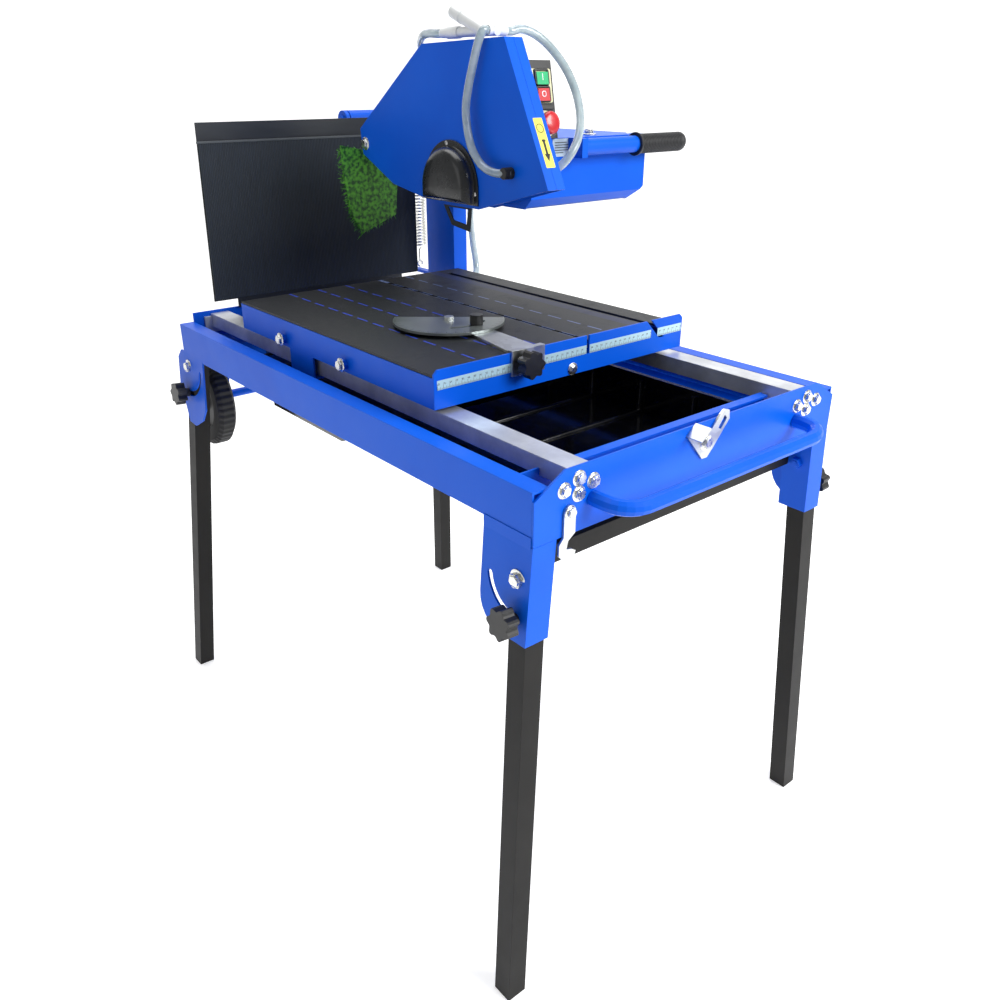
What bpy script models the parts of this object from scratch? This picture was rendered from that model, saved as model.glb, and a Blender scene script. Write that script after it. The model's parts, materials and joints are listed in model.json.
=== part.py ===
"""Masonry and tile table saw with folding legs, a sliding table and a tilting head.

Metres, +Z up. The origin is on the floor under the middle of the frame. The operator stands on
the -Y side, and +X is to the operator's right.
"""
from math import atan2, cos, pi, radians, sin, tan

import bmesh
import bpy
from mathutils import Matrix, Vector

MM = 0.001

# Driving sizes: frame
FRAME_WIDTH = 589 * MM
FRAME_FRONT = -515 * MM
FRAME_LENGTH = 972 * MM
BEAM_BOTTOM = 700 * MM
BEAM_HEIGHT = 57 * MM
BEAM_FLANGE = 26 * MM
SHEET = 3 * MM
PLATE_RISE = 16 * MM
PLATE_DROP = 10 * MM
PLATE_CHAMFER = (46 * MM, 27 * MM)
GAP = 0.3 * MM
CROSS_DEPTH = 36 * MM
CROSS_SETBACK = 60 * MM

# Driving sizes: legs
LEG = 30 * MM
LEG_WALL = 2 * MM
LEG_SPLAY = radians(4.2)
FRONT_LEAN = radians(2.35)
REAR_LEAN = radians(6.65)
FRONT_PIVOT_Z = 642 * MM
REAR_PIVOT_Z = 680 * MM
LEG_OVER_PIVOT = 8 * MM
HOUSING_BOTTOM = 561 * MM
HOUSING_GUSSET = 87 * MM
HOUSING_FLANGE = 44 * MM
LOCK_RADIUS = 50 * MM
FRONT_FOLD = radians(77)
REAR_FOLD = radians(-90)
PIVOT_BOLT_R = 5 * MM
LOCK_BOLT_R = 4 * MM
BOLT_PLAY = 0.3 * MM
TIE = 25 * MM
REAR_TIE = 22 * MM
KNOB_R = 21 * MM
KNOB_HEIGHT = 17 * MM
KNOB_STEM = 10 * MM

# Driving sizes: rails and table
RAIL_CENTRE = 218 * MM
RAIL_WIDTH = 34 * MM
RAIL_HEIGHT = 24 * MM
RAIL_WALL = 2 * MM
RAIL_TOP = 768 * MM
TABLE_LEFT = -245 * MM
TABLE_WIDTH = 467 * MM
TABLE_FRONT = -265 * MM
TABLE_LENGTH = 557 * MM
LIP_OVERHANG = 23 * MM
TABLE_TOP = 820 * MM
MAT_THICK = 3.5 * MM
LIP_RISE = 7 * MM
SKIRT_GAP = 6 * MM
ROLLER_R = 18 * MM
ROLLER_WIDTH = 22 * MM
ROLLER_Y = (-45 * MM, 141 * MM)
AXLE_R = 5 * MM
GROOVE_X = 34 * MM
GROOVE_WIDTH = 5 * MM
BEVEL_GROOVE_X = 176 * MM
BEVEL_GROOVE_WIDTH = 11 * MM

# Driving sizes: head
BLADE_R = 175 * MM
SPINDLE = (36 * MM, 1010 * MM)
GUARD_WIDTH = 34 * MM
GUARD_SHEET = 2 * MM
COVER_RIGHT = 300 * MM
COVER_FRONT = -115 * MM
COVER_DEPTH = 233 * MM
COVER_BOTTOM = 985 * MM
COVER_HEIGHT = 100 * MM
STRIP_WIDTH = 42 * MM
STRIP_REAR = 265 * MM
ARM_X = 244 * MM
ARM_THICK = 12 * MM
HINGE = (470 * MM, 1092 * MM)
HINGE_TUBE_R = 17 * MM
HINGE_PIN_R = 8 * MM
HINGE_LEFT = 94 * MM
HINGE_RIGHT = 304 * MM
SPINDLE_R = 15 * MM
SPINDLE_TUBE_R = 30 * MM
MOTOR = (190 * MM, 1052 * MM)
MOTOR_R = 65 * MM
MOTOR_LENGTH = 178 * MM
PULLEY_R = 25 * MM
SPINDLE_PULLEY_R = 20 * MM
PULLEY_WIDTH = 16 * MM
BELT_THICK = 4 * MM
POST_X = 254 * MM
POST_WIDTH = 33 * MM
POST_Y = 347 * MM
POST_DEPTH = 93 * MM
SPRING = (279 * MM, 506 * MM)
SPRING_R = 16.5 * MM
SPRING_Z = (828 * MM, 1030 * MM)
TILT_Z = 1052 * MM
SLEEVE_R = 20 * MM
SHAFT_R = 12 * MM
HANDLE = (-134 * MM, 1072 * MM)
HANDLE_R = 12.5 * MM
HANDLE_LEFT = 130 * MM
GRIP_START = 252 * MM
GRIP_END = 366 * MM
HOSE_R = 7 * MM
SWITCH_LEAN = radians(11)

# Driving sizes: wheels, tray, panel
WHEEL_R = 90 * MM
WHEEL_WIDTH = 38 * MM
WHEEL_OUTER = 260 * MM
AXLE_Z = 590 * MM
WHEEL_AXLE_R = 8 * MM
TRAY_HALF = 196 * MM
TRAY_WALL = 3 * MM
PANEL = (-222 * MM, 228 * MM)
PANEL_BOTTOM = 790 * MM
PANEL_TOP = 1096 * MM
PANEL_Y = 444 * MM

# Sizes worked out from the driving ones
HALF = FRAME_WIDTH / 2
FRAME_REAR = FRAME_FRONT + FRAME_LENGTH
REAR_PIVOT_Y = FRAME_REAR - 16 * MM
AXLE = (FRAME_REAR + 48 * MM, AXLE_Z)
BEAM_TOP = BEAM_BOTTOM + BEAM_HEIGHT
PLATE_TOP = BEAM_TOP + PLATE_RISE
PLATE_BOTTOM = BEAM_BOTTOM - PLATE_DROP
HOUSING_WIDTH = LEG + 2 * SHEET + 2 * GAP
FRONT_PIVOT_Y = FRAME_FRONT + SHEET + LEG / 2 + 3.6 * MM
TABLE_REAR = TABLE_FRONT + TABLE_LENGTH
TABLE_RIGHT = TABLE_LEFT + TABLE_WIDTH
MAT_BOTTOM = TABLE_TOP - MAT_THICK
SKIRT_BOTTOM = RAIL_TOP + SKIRT_GAP
ROLLER_Z = RAIL_TOP + ROLLER_R + GAP
GUARD_LEFT = GROOVE_X - GUARD_WIDTH / 2
GUARD_RIGHT = GROOVE_X + GUARD_WIDTH / 2
COVER_LEFT = GUARD_RIGHT + 1 * MM
COVER_TOP = COVER_BOTTOM + COVER_HEIGHT
PULLEY_X = ARM_X + ARM_THICK + 20 * MM
POST_CENTRE = POST_X + POST_WIDTH / 2
ARM_RIGHT = ARM_X + ARM_THICK
REAR_BOLT_INWARD = SHEET + LEG + 24 * MM
SIDES = {"left": -1, "right": 1}


# Materials

def material(name, colour, roughness, metallic=0.0):
    made = bpy.data.materials.new(name)
    made.use_nodes = True
    shader = made.node_tree.nodes["Principled BSDF"]
    shader.inputs["Base Color"].default_value = (*colour, 1)
    shader.inputs["Roughness"].default_value = roughness
    shader.inputs["Metallic"].default_value = metallic
    return made


# Solids: each builder returns a mesh in world coordinates

def mesh_from(verts, faces):
    mesh = bpy.data.meshes.new("solid")
    mesh.from_pydata([Vector(v) for v in verts], [], faces)
    work = bmesh.new()
    work.from_mesh(mesh)
    bmesh.ops.recalc_face_normals(work, faces=work.faces)
    work.to_mesh(mesh)
    work.free()
    return mesh


def on_axis(axis, a, b, along):
    """A point from two in-plane values and one along the axis, in X, Y, Z order."""
    if axis == "X":
        return (along, a, b)
    if axis == "Y":
        return (a, along, b)
    return (a, b, along)


def prism(axis, outline, low, high):
    count = len(outline)
    verts = [on_axis(axis, a, b, low) for a, b in outline]
    verts += [on_axis(axis, a, b, high) for a, b in outline]
    faces = [tuple(range(count)), tuple(range(2 * count - 1, count - 1, -1))]
    for i in range(count):
        j = (i + 1) % count
        faces.append((i, j, count + j, count + i))
    return mesh_from(verts, faces)


def block(x, y, z):
    return prism("Z", [(x[0], y[0]), (x[1], y[0]), (x[1], y[1]), (x[0], y[1])], *z)


def circle(centre, radius, sides=24, start=0.0, sweep=2 * pi):
    whole = abs(sweep - 2 * pi) < 1e-6
    steps = sides if whole else sides + 1
    turn = [start + sweep * i / sides for i in range(steps)]
    return [(centre[0] + radius * cos(t), centre[1] + radius * sin(t)) for t in turn]


def rod(axis, centre, radius, low, high, sides=24):
    return prism(axis, circle(centre, radius, sides), low, high)


def arc_slot(centre, radius, half_width, start, end, steps=8):
    """Outline of a slot that follows an arc and has round ends."""
    outer = circle(centre, radius + half_width, steps, start, end - start)
    inner = circle(centre, radius - half_width, steps, end, start - end)
    tip = (centre[0] + radius * cos(end), centre[1] + radius * sin(end))
    root = (centre[0] + radius * cos(start), centre[1] + radius * sin(start))
    end_cap = circle(tip, half_width, 4, end, pi)[1:-1]
    start_cap = circle(root, half_width, 4, start + pi, pi)[1:-1]
    return outer + end_cap + inner + start_cap


def moved(mesh, change):
    """The same mesh with change(x, y, z) applied to each vertex."""
    for vert in mesh.vertices:
        vert.co = Vector(change(*vert.co))
    return mesh


def mirrored(mesh):
    moved(mesh, lambda x, y, z: (-x, y, z))
    mesh.flip_normals()
    return mesh


def turned(mesh, axis, pivot, angle):
    shift = Matrix.Translation(Vector(pivot))
    mesh.transform(shift @ Matrix.Rotation(angle, 4, axis) @ shift.inverted())
    return mesh


def combined(base, operation, *others):
    """Base after one exact Boolean with each of the other solids."""
    holder = bpy.data.objects.new("base", base)
    bpy.context.collection.objects.link(holder)
    tools = []
    for other in others:
        tool = bpy.data.objects.new("tool", other)
        bpy.context.collection.objects.link(tool)
        step = holder.modifiers.new("step", "BOOLEAN")
        step.operation = operation
        step.object = tool
        tools.append(tool)
    bpy.context.view_layer.update()
    graph = bpy.context.evaluated_depsgraph_get()
    result = bpy.data.meshes.new_from_object(holder.evaluated_get(graph))
    for used in [holder, *tools]:
        bpy.data.objects.remove(used)
    return result


def fused(base, *others):
    return combined(base, "UNION", *others)


def cut(base, *others):
    return combined(base, "DIFFERENCE", *others)


def swept(points, radius, sides_level=2, radii=None, per_span=4):
    """A round tube along a smooth curve through the points, as one closed mesh."""
    path = smooth_path(points, per_span)
    curve = bpy.data.curves.new("path", "CURVE")
    curve.dimensions = "3D"
    curve.bevel_depth = radius
    curve.bevel_resolution = sides_level
    curve.use_fill_caps = True
    spline = curve.splines.new("POLY")
    spline.points.add(len(path) - 1)
    for index, (spot, place) in enumerate(zip(spline.points, path)):
        spot.co = (*place, 1)
        spot.radius = radii(index / (len(path) - 1)) if radii else 1.0
    holder = bpy.data.objects.new("path", curve)
    bpy.context.collection.objects.link(holder)
    bpy.context.view_layer.update()
    graph = bpy.context.evaluated_depsgraph_get()
    mesh = bpy.data.meshes.new_from_object(holder.evaluated_get(graph))
    bpy.data.objects.remove(holder)
    work = bmesh.new()
    work.from_mesh(mesh)
    bmesh.ops.remove_doubles(work, verts=work.verts, dist=1e-6)
    bmesh.ops.recalc_face_normals(work, faces=work.faces)
    work.to_mesh(mesh)
    work.free()
    return mesh


def smooth_path(points, per_span):
    """Points of a Catmull-Rom curve through the given ones."""
    spots = [Vector(p) for p in points]
    spots = [2 * spots[0] - spots[1], *spots, 2 * spots[-1] - spots[-2]]
    path = []
    for a, b, c, d in zip(spots, spots[1:], spots[2:], spots[3:]):
        for step in range(per_span):
            t = step / per_span
            path.append(0.5 * (2 * b + (c - a) * t + (2 * a - 5 * b + 4 * c - d) * t * t
                               + (3 * b - a - 3 * c + d) * t ** 3))
    path.append(spots[-2])
    return path


def points_mm(*spots):
    return [tuple(value * MM for value in spot) for spot in spots]


# Objects

def anchor(name, place, parent=None):
    """An empty on a joint's axis, which carries the pieces that move with it."""
    empty = bpy.data.objects.new(name, None)
    bpy.context.collection.objects.link(empty)
    attach(empty, place, parent)
    return empty


def attach(thing, place, parent):
    thing.parent = parent
    origin = parent["place"] if parent else (0, 0, 0)
    thing.location = Vector(place) - Vector(origin)
    thing["place"] = tuple(place)


def piece(name, mesh, look, parent=None, smooth=True):
    """A named object for a mesh in world coordinates, carried by an anchor if one is given."""
    place = tuple(parent["place"]) if parent else (0, 0, 0)
    mesh.name = name
    mesh.transform(Matrix.Translation(-Vector(place)))
    mesh.materials.clear()
    mesh.materials.append(look)
    if smooth:
        mesh.shade_smooth()
        mesh.set_sharp_from_angle(angle=radians(35))
    made = bpy.data.objects.new(name, mesh)
    bpy.context.collection.objects.link(made)
    attach(made, place, parent)
    return made


# Frame

def splay_shift(z):
    """How far the leg housings lean outwards at a height, below the beams."""
    return (BEAM_BOTTOM - z) * tan(LEG_SPLAY)


def splayed(mesh):
    """Lean a right-hand piece outwards below the beams."""
    return moved(mesh, lambda x, y, z: (x + splay_shift(z), y, z))


def squared(mesh, y, z):
    """Turn a right-hand bolt or knob so that it stands square to its splayed leg."""
    return turned(mesh, "Y", (HALF + splay_shift(z), y, z), -LEG_SPLAY)


def bolt_shank(y, z, radius, inward, outward):
    """A rod square to the leg, between two distances from the bracket's outer face."""
    face = HALF + splay_shift(z)
    return squared(rod("X", (y, z), radius, face - inward, face + outward, 16), y, z)


def bolt_head(y, z, inward, outward):
    face = HALF + splay_shift(z)
    return squared(rod("X", (y, z), 8.5 * MM, face - inward, face + outward, 6), y, z)


def rear_bracket_outline():
    y = REAR_PIVOT_Y
    top = BEAM_BOTTOM + 6 * MM
    return [(y - 65 * MM, top), (y - 65 * MM, REAR_PIVOT_Z - 68 * MM),
            (y - 49 * MM, REAR_PIVOT_Z - 92 * MM), (y - 16 * MM, REAR_PIVOT_Z - 110 * MM),
            (y + 11 * MM, REAR_PIVOT_Z - 108 * MM), (y + 46 * MM, REAR_PIVOT_Z - 40 * MM),
            (y + 46 * MM, REAR_PIVOT_Z + 10 * MM), (y + 30 * MM, top)]


def lock_spot(pivot, lean, turn=0.0):
    """Where the lock bolt is, for a leg that leans and has turned towards the rear."""
    angle = lean + turn
    return (pivot[0] + LOCK_RADIUS * sin(angle), pivot[1] - LOCK_RADIUS * cos(angle))


def lock_slot(pivot, lean, fold):
    """Slot that the lock bolt runs in, from the leg's standing place to its folded one."""
    spare = radians(3)
    start = lean - pi / 2 - spare
    end = lean + fold - pi / 2 + spare
    if fold < 0:
        start, end = lean + fold - pi / 2 - spare, lean - pi / 2 + spare
    return arc_slot(pivot, LOCK_RADIUS, LOCK_BOLT_R + 2 * BOLT_PLAY, start, end, 12)


def side_beam():
    """The right-hand beam, welded to a housing for the front leg and a bracket for the rear one."""
    web = block((HALF - SHEET, HALF), (FRAME_FRONT + SHEET + GAP, FRAME_REAR),
                (BEAM_BOTTOM, BEAM_TOP))
    flange = block((HALF - BEAM_FLANGE, HALF), (FRAME_FRONT + SHEET + GAP, FRAME_REAR),
                   (BEAM_TOP - SHEET, BEAM_TOP))
    bracket = prism("X", rear_bracket_outline(), HALF - SHEET, HALF)
    pivot = (REAR_PIVOT_Y, REAR_PIVOT_Z)
    slot = prism("X", lock_slot(pivot, REAR_LEAN, REAR_FOLD), HALF - 4 * SHEET, HALF + 4 * SHEET)
    bracket = moved(cut(bracket, slot), lambda x, y, z: (x + max(0, splay_shift(z)), y, z))
    shank = bolt_shank(*pivot, PIVOT_BOLT_R, REAR_BOLT_INWARD, 1 * MM)
    link = block((HALF - SHEET, HALF + 1 * MM), (FRAME_FRONT + SHEET + GAP, FRAME_FRONT + HOUSING_GUSSET),
                 (PLATE_BOTTOM - 4 * MM, BEAM_BOTTOM + 2 * MM))
    head = bolt_head(*pivot, 1 * MM, 6 * MM)
    return fused(web, flange, bracket, shank, head, link, front_housing())


def front_housing():
    """The right-hand channel that holds a front leg: front web, inner flange and side gusset."""
    top = PLATE_BOTTOM - GAP
    rear = FRAME_FRONT + HOUSING_GUSSET
    inner = HALF - HOUSING_WIDTH
    web = block((inner, HALF), (FRAME_FRONT, FRAME_FRONT + SHEET), (HOUSING_BOTTOM, top))
    flange = block((inner, inner + SHEET), (FRAME_FRONT, FRAME_FRONT + SHEET + HOUSING_FLANGE),
                   (HOUSING_BOTTOM, top))
    round_off = circle((rear - 40 * MM, HOUSING_BOTTOM + 40 * MM), 40 * MM, 6, -pi / 2, pi / 2)
    gusset = prism("X", [(FRAME_FRONT, HOUSING_BOTTOM), *round_off, (rear, top), (FRAME_FRONT, top)],
                   HALF - SHEET, HALF)
    pivot = (FRONT_PIVOT_Y, FRONT_PIVOT_Z)
    slot = prism("X", lock_slot(pivot, -FRONT_LEAN, FRONT_FOLD), HALF - 3 * SHEET, HALF + 3 * SHEET)
    shell = splayed(fused(web, flange, cut(gusset, slot)))
    shank = bolt_shank(*pivot, PIVOT_BOLT_R, HOUSING_WIDTH + 8 * MM, 1 * MM)
    head = bolt_head(*pivot, 1 * MM, 6 * MM)
    nut = bolt_head(*pivot, HOUSING_WIDTH + 7 * MM, -HOUSING_WIDTH + 1 * MM)
    return fused(shell, shank, head, nut)


def front_tie():
    """Channel-shaped bar between the front leg housings."""
    y = FRAME_FRONT + HOUSING_GUSSET - TIE - 26 * MM
    z = FRONT_PIVOT_Z - 9 * MM
    reach = HALF - HOUSING_WIDTH - GAP + splay_shift(z + TIE)
    bar = block((-reach, reach), (y, y + TIE), (z, z + TIE))
    trough = block((-reach + LEG, reach - LEG), (y + LEG_WALL, y + TIE - LEG_WALL),
                   (z - TIE, z + TIE - LEG_WALL))
    return cut(bar, trough)


def rear_tie():
    """Square bar between the rear legs, drilled at each end for their pivot bolts."""
    half = REAR_TIE / 2
    reach = HALF - SHEET - LEG - 3 * GAP
    y, z = REAR_PIVOT_Y, REAR_PIVOT_Z
    bar = block((-reach, reach), (y - half, y + half), (z - half, z + half))
    hole = bolt_shank(y, z, PIVOT_BOLT_R + BOLT_PLAY, REAR_BOLT_INWARD + 6 * MM, 0)
    return cut(bar, hole, mirrored(bolt_shank(y, z, PIVOT_BOLT_R + BOLT_PLAY,
                                              REAR_BOLT_INWARD + 6 * MM, 0)))


def bolt_spots(centre, z):
    """The four bolts that hold one rail end, as a diamond."""
    spread = RAIL_WIDTH * 0.68
    return [(centre - spread, z), (centre + spread, z), (centre, z + 9 * MM), (centre, z - 10 * MM)]


def front_plate():
    chamfer_x, chamfer_z = PLATE_CHAMFER
    shoulder = PLATE_TOP - chamfer_z
    half_top = HALF - chamfer_x
    outline = [(-HALF, PLATE_BOTTOM), (HALF, PLATE_BOTTOM), (HALF, shoulder), (half_top, PLATE_TOP),
               (-half_top, PLATE_TOP), (-HALF, shoulder)]
    plate = prism("Y", outline, FRAME_FRONT, FRAME_FRONT + SHEET)
    heads = [rod("Y", spot, 6.5 * MM, FRAME_FRONT - 5 * MM, FRAME_FRONT + 1 * MM, 6)
             for side in SIDES.values()
             for spot in bolt_spots(side * (RAIL_CENTRE + 8 * MM), RAIL_TOP - 20 * MM)]
    return fused(plate, *heads)


def rear_plate():
    """Rear cross member: a channel between the beams, which also carries the axle's arms."""
    inside = HALF - SHEET - GAP
    web = block((-inside, inside), (FRAME_REAR - SHEET, FRAME_REAR), (BEAM_BOTTOM + 4 * MM, PLATE_TOP))
    foot = block((-inside + BEAM_FLANGE, inside - BEAM_FLANGE),
                 (FRAME_REAR - SHEET, FRAME_REAR + 10 * MM), (BEAM_BOTTOM + 4 * MM, BEAM_BOTTOM + 8 * MM))
    plate = fused(web, foot, axle_carrier())
    notch = BEAM_FLANGE + GAP
    for side in SIDES.values():
        edge = sorted((side * (HALF - notch), side * (HALF + SHEET)))
        plate = cut(plate, block(edge, (FRAME_REAR - 2 * SHEET, FRAME_REAR + SHEET),
                                 (BEAM_TOP - SHEET - GAP, PLATE_TOP + SHEET)))
    return plate


def axle_carrier():
    """The wheel axle with the two plates welded to the rear cross member."""
    y, z = AXLE
    low = BEAM_BOTTOM + 6 * MM
    top = BEAM_TOP - 10 * MM
    reach = WHEEL_OUTER - WHEEL_WIDTH - 12 * MM
    shaft = rod("X", AXLE, WHEEL_AXLE_R, -WHEEL_OUTER + 4 * MM, WHEEL_OUTER - 4 * MM, 16)
    arms = []
    for side in SIDES.values():
        span = sorted((side * reach, side * (reach - 5 * MM)))
        front = FRAME_REAR - 1 * MM
        outline = [(front, low), (y - 14 * MM, z), (y - 8 * MM, z - 14 * MM), (y + 8 * MM, z - 14 * MM),
                   (y + 14 * MM, z), (y + 14 * MM, low + 10 * MM), (front + 14 * MM, top),
                   (front, top)]
        arms.append(prism("X", outline, *span))
    return fused(shaft, *arms)


def cross_member():
    """Folded cross member behind the front plate, which holds the tray's front rim."""
    inside = HALF - SHEET - GAP
    rear = FRAME_FRONT + CROSS_SETBACK
    web = block((-inside, inside), (rear - SHEET, rear), (BEAM_BOTTOM + 2 * MM, BEAM_TOP - SHEET - GAP))
    shelf = block((-inside, inside), (rear - SHEET, rear + CROSS_DEPTH / 2),
                  (BEAM_BOTTOM + 2 * MM, BEAM_BOTTOM + 2 * MM + SHEET))
    inner = RAIL_CENTRE - RAIL_WIDTH / 2 - 4 * MM
    top = block((-inner, inner), (rear - SHEET - CROSS_DEPTH / 3, rear),
                (BEAM_TOP - 2 * SHEET - GAP, BEAM_TOP - SHEET - GAP))
    body = fused(web, shelf, top)
    for side in SIDES.values():
        span = sorted((side * (RAIL_CENTRE - RAIL_WIDTH / 2 - GAP), side * (RAIL_CENTRE + RAIL_WIDTH / 2 + GAP)))
        body = cut(body, block(span, (rear - 20 * SHEET, rear + 20 * SHEET),
                               (RAIL_TOP - RAIL_HEIGHT - GAP, RAIL_TOP)))
    return body


def rail():
    """The right-hand rail: a rectangular tube with a foot plate at each end."""
    front = FRAME_FRONT + SHEET + GAP
    rear = FRAME_REAR - SHEET - GAP
    low = RAIL_TOP - RAIL_HEIGHT
    left = RAIL_CENTRE - RAIL_WIDTH / 2
    right = RAIL_CENTRE + RAIL_WIDTH / 2
    tube = block((left, right), (front, rear), (low, RAIL_TOP))
    hollow = block((left + RAIL_WALL, right - RAIL_WALL), (front - SHEET, rear + SHEET),
                   (low + RAIL_WALL, RAIL_TOP - RAIL_WALL))
    feet = [block((left - 4 * MM, right + 14 * MM), span, (low - 10 * MM, RAIL_TOP - 4 * MM))
            for span in ((front, front + 4 * MM), (rear - 4 * MM, rear))]
    return cut(fused(tube, *feet), hollow)


def push_handle():
    """Round tube bent to a U, welded to the front plate."""
    y = FRAME_FRONT
    reach = HALF - 92 * MM
    z = BEAM_BOTTOM + 26 * MM
    half_run = [(reach, y - 0.6 * MM, z), (reach, y - 16 * MM, z), (reach - 5 * MM, y - 36 * MM, z - 1 * MM),
                (reach - 26 * MM, y - 49 * MM, z - 3 * MM), (reach - 60 * MM, y - 51 * MM, z - 3 * MM),
                (reach * 0.35, y - 51 * MM, z - 3 * MM)]
    other = [(-x, y2, z2) for x, y2, z2 in reversed(half_run)]
    return swept(half_run + other, 10 * MM, 3, per_span=3)


def tray():
    """Water tray: a wide rim, a shallow front and a deep rear."""
    rim = BEAM_BOTTOM + 28 * MM
    front = FRAME_FRONT + CROSS_SETBACK + CROSS_DEPTH / 2 + 4 * MM
    rear = POST_Y - 25 * MM
    deep = 618 * MM
    shallow = 664 * MM
    profile = [(front, rim), (front, shallow), (-40 * MM, shallow), (70 * MM, deep), (rear - 12 * MM, deep),
               (rear, rim)]
    outer = prism("X", profile, -TRAY_HALF, TRAY_HALF)
    wall = TRAY_WALL
    hollow = [(front + wall, rim + wall), (front + wall, shallow + wall), (-40 * MM + wall / 2, shallow + wall),
              (70 * MM + wall / 2, deep + wall), (rear - 12 * MM - wall, deep + wall), (rear - wall, rim + wall)]
    inner = prism("X", hollow, -TRAY_HALF + wall, TRAY_HALF - wall)
    edge = block((-TRAY_HALF - 2 * wall, TRAY_HALF + 2 * wall), (front - wall, rear + wall), (rim - wall, rim))
    return cut(fused(outer, edge), inner)


def post():
    """Post for the head: foot beam, rectangular tube and tilt sleeve, welded into one."""
    inside = HALF - SHEET - GAP
    foot_z = BEAM_BOTTOM + 4 * MM
    y = (POST_Y, POST_Y + POST_DEPTH)
    foot = block((-inside, inside), (y[0] + 5 * MM, y[1] - 5 * MM), (foot_z, foot_z + 26 * MM))
    foot_hollow = block((-inside - SHEET, inside + SHEET), (y[0] + 5 * MM + SHEET, y[1] - 5 * MM - SHEET),
                        (foot_z + SHEET, foot_z + 26 * MM - SHEET))
    tube = block((POST_X, POST_X + POST_WIDTH), y, (foot_z + 26 * MM - SHEET, TILT_Z - SLEEVE_R / 2))
    shell = fused(foot, tube)
    tube_hollow = block((POST_X + SHEET, POST_X + POST_WIDTH - SHEET), (y[0] + SHEET, y[1] - SHEET),
                        (foot_z + 2 * SHEET, TILT_Z))
    shell = cut(shell, tube_hollow, foot_hollow)
    sleeve = rod("Y", (POST_CENTRE, TILT_Z), SLEEVE_R, y[0] - 3 * MM, y[1] + 2 * MM)
    bore = rod("Y", (POST_CENTRE, TILT_Z), SHAFT_R + GAP, y[0] - 9 * MM, y[1] + 9 * MM)
    hook_z = SPRING_Z[0] - 45 * MM
    peg = block((POST_X + 12 * MM, POST_X + 28 * MM), (y[1] - SHEET, SPRING[1] + 8 * MM),
                (hook_z - 6 * MM, hook_z))
    return fused(cut(fused(shell, sleeve), bore), peg)


def panel():
    """Splash board behind the table, notched where the head's arm swings when it tilts."""
    left, right = PANEL
    lean = 6 * MM
    outline = [(left - lean, PANEL_BOTTOM), (right, PANEL_BOTTOM), (right, PANEL_TOP - 76 * MM),
               (right - 78 * MM, PANEL_TOP), (left, PANEL_TOP)]
    board = prism("Y", outline, PANEL_Y, PANEL_Y + 2.5 * MM)
    foot = block((left + 40 * MM, right - 40 * MM), (PANEL_Y, PANEL_Y + 2.5 * MM),
                 (PLATE_TOP + GAP, PANEL_BOTTOM + 2 * MM))
    return fused(board, foot)


def panel_rubber():
    """Ribbed rubber sheet hung on the front of the splash board."""
    left, right = PANEL
    top = PANEL_TOP - 30 * MM
    outline = [(left - 5 * MM, PANEL_BOTTOM + 2 * MM), (right - 1 * MM, PANEL_BOTTOM + 2 * MM),
               (right - 1 * MM, PANEL_TOP - 78 * MM), (right - 46 * MM, top), (left + 0.5 * MM, top)]
    return prism("Y", outline, PANEL_Y - 3.5 * MM, PANEL_Y - GAP)


# Legs

def leg_tube(y_pivot, z_pivot, lean):
    """The right-hand leg of a pair: a square tube that leans out and forwards or back."""
    outer_x = HALF - SHEET - GAP
    spans = ((outer_x - LEG, outer_x), (y_pivot - LEG / 2, y_pivot + LEG / 2))
    inner = [(a + LEG_WALL, b - LEG_WALL) for a, b in spans]
    top = z_pivot + LEG_OVER_PIVOT
    tube = cut(block(*spans, (0, top)), block(*inner, (-LEG_WALL, top + LEG_WALL)))
    return moved(tube, lambda x, y, z: (x + splay_shift(z), y + (z_pivot - z) * tan(lean), z))


def leg(pivot, lean):
    """A right-hand leg with holes for its pivot bolt and its lock stud."""
    lock = lock_spot(pivot, lean)
    through = SHEET + LEG + 20 * MM
    hole = bolt_shank(*pivot, PIVOT_BOLT_R + BOLT_PLAY, through, through)
    stud = bolt_shank(*lock, LOCK_BOLT_R + BOLT_PLAY, through, through)
    return cut(leg_tube(*pivot, lean), hole, stud)


def star(centre, radius, lobes=7, steps=6):
    """Outline of a star knob, with round lobes."""
    turn = [2 * pi * i / (lobes * steps) for i in range(lobes * steps)]
    reach = [radius * (0.88 + 0.12 * cos(lobes * t)) for t in turn]
    return [(centre[0] + r * cos(t), centre[1] + r * sin(t)) for r, t in zip(reach, turn)]


def lock_knob(spot):
    """Star knob, its stem and its threaded stud, outside the right-hand bracket."""
    y, z = spot
    base = HALF + splay_shift(z) + 1 * MM
    stud = rod("X", spot, LOCK_BOLT_R, base - 2 * SHEET - LEG_WALL, base + KNOB_STEM, 16)
    stem = rod("X", spot, 8 * MM, base, base + KNOB_STEM + 1 * MM, 16)
    head = prism("X", star(spot, KNOB_R), base + KNOB_STEM, base + KNOB_STEM + KNOB_HEIGHT)
    return squared(fused(stud, stem, head), y, z)


# Wheels

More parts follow.
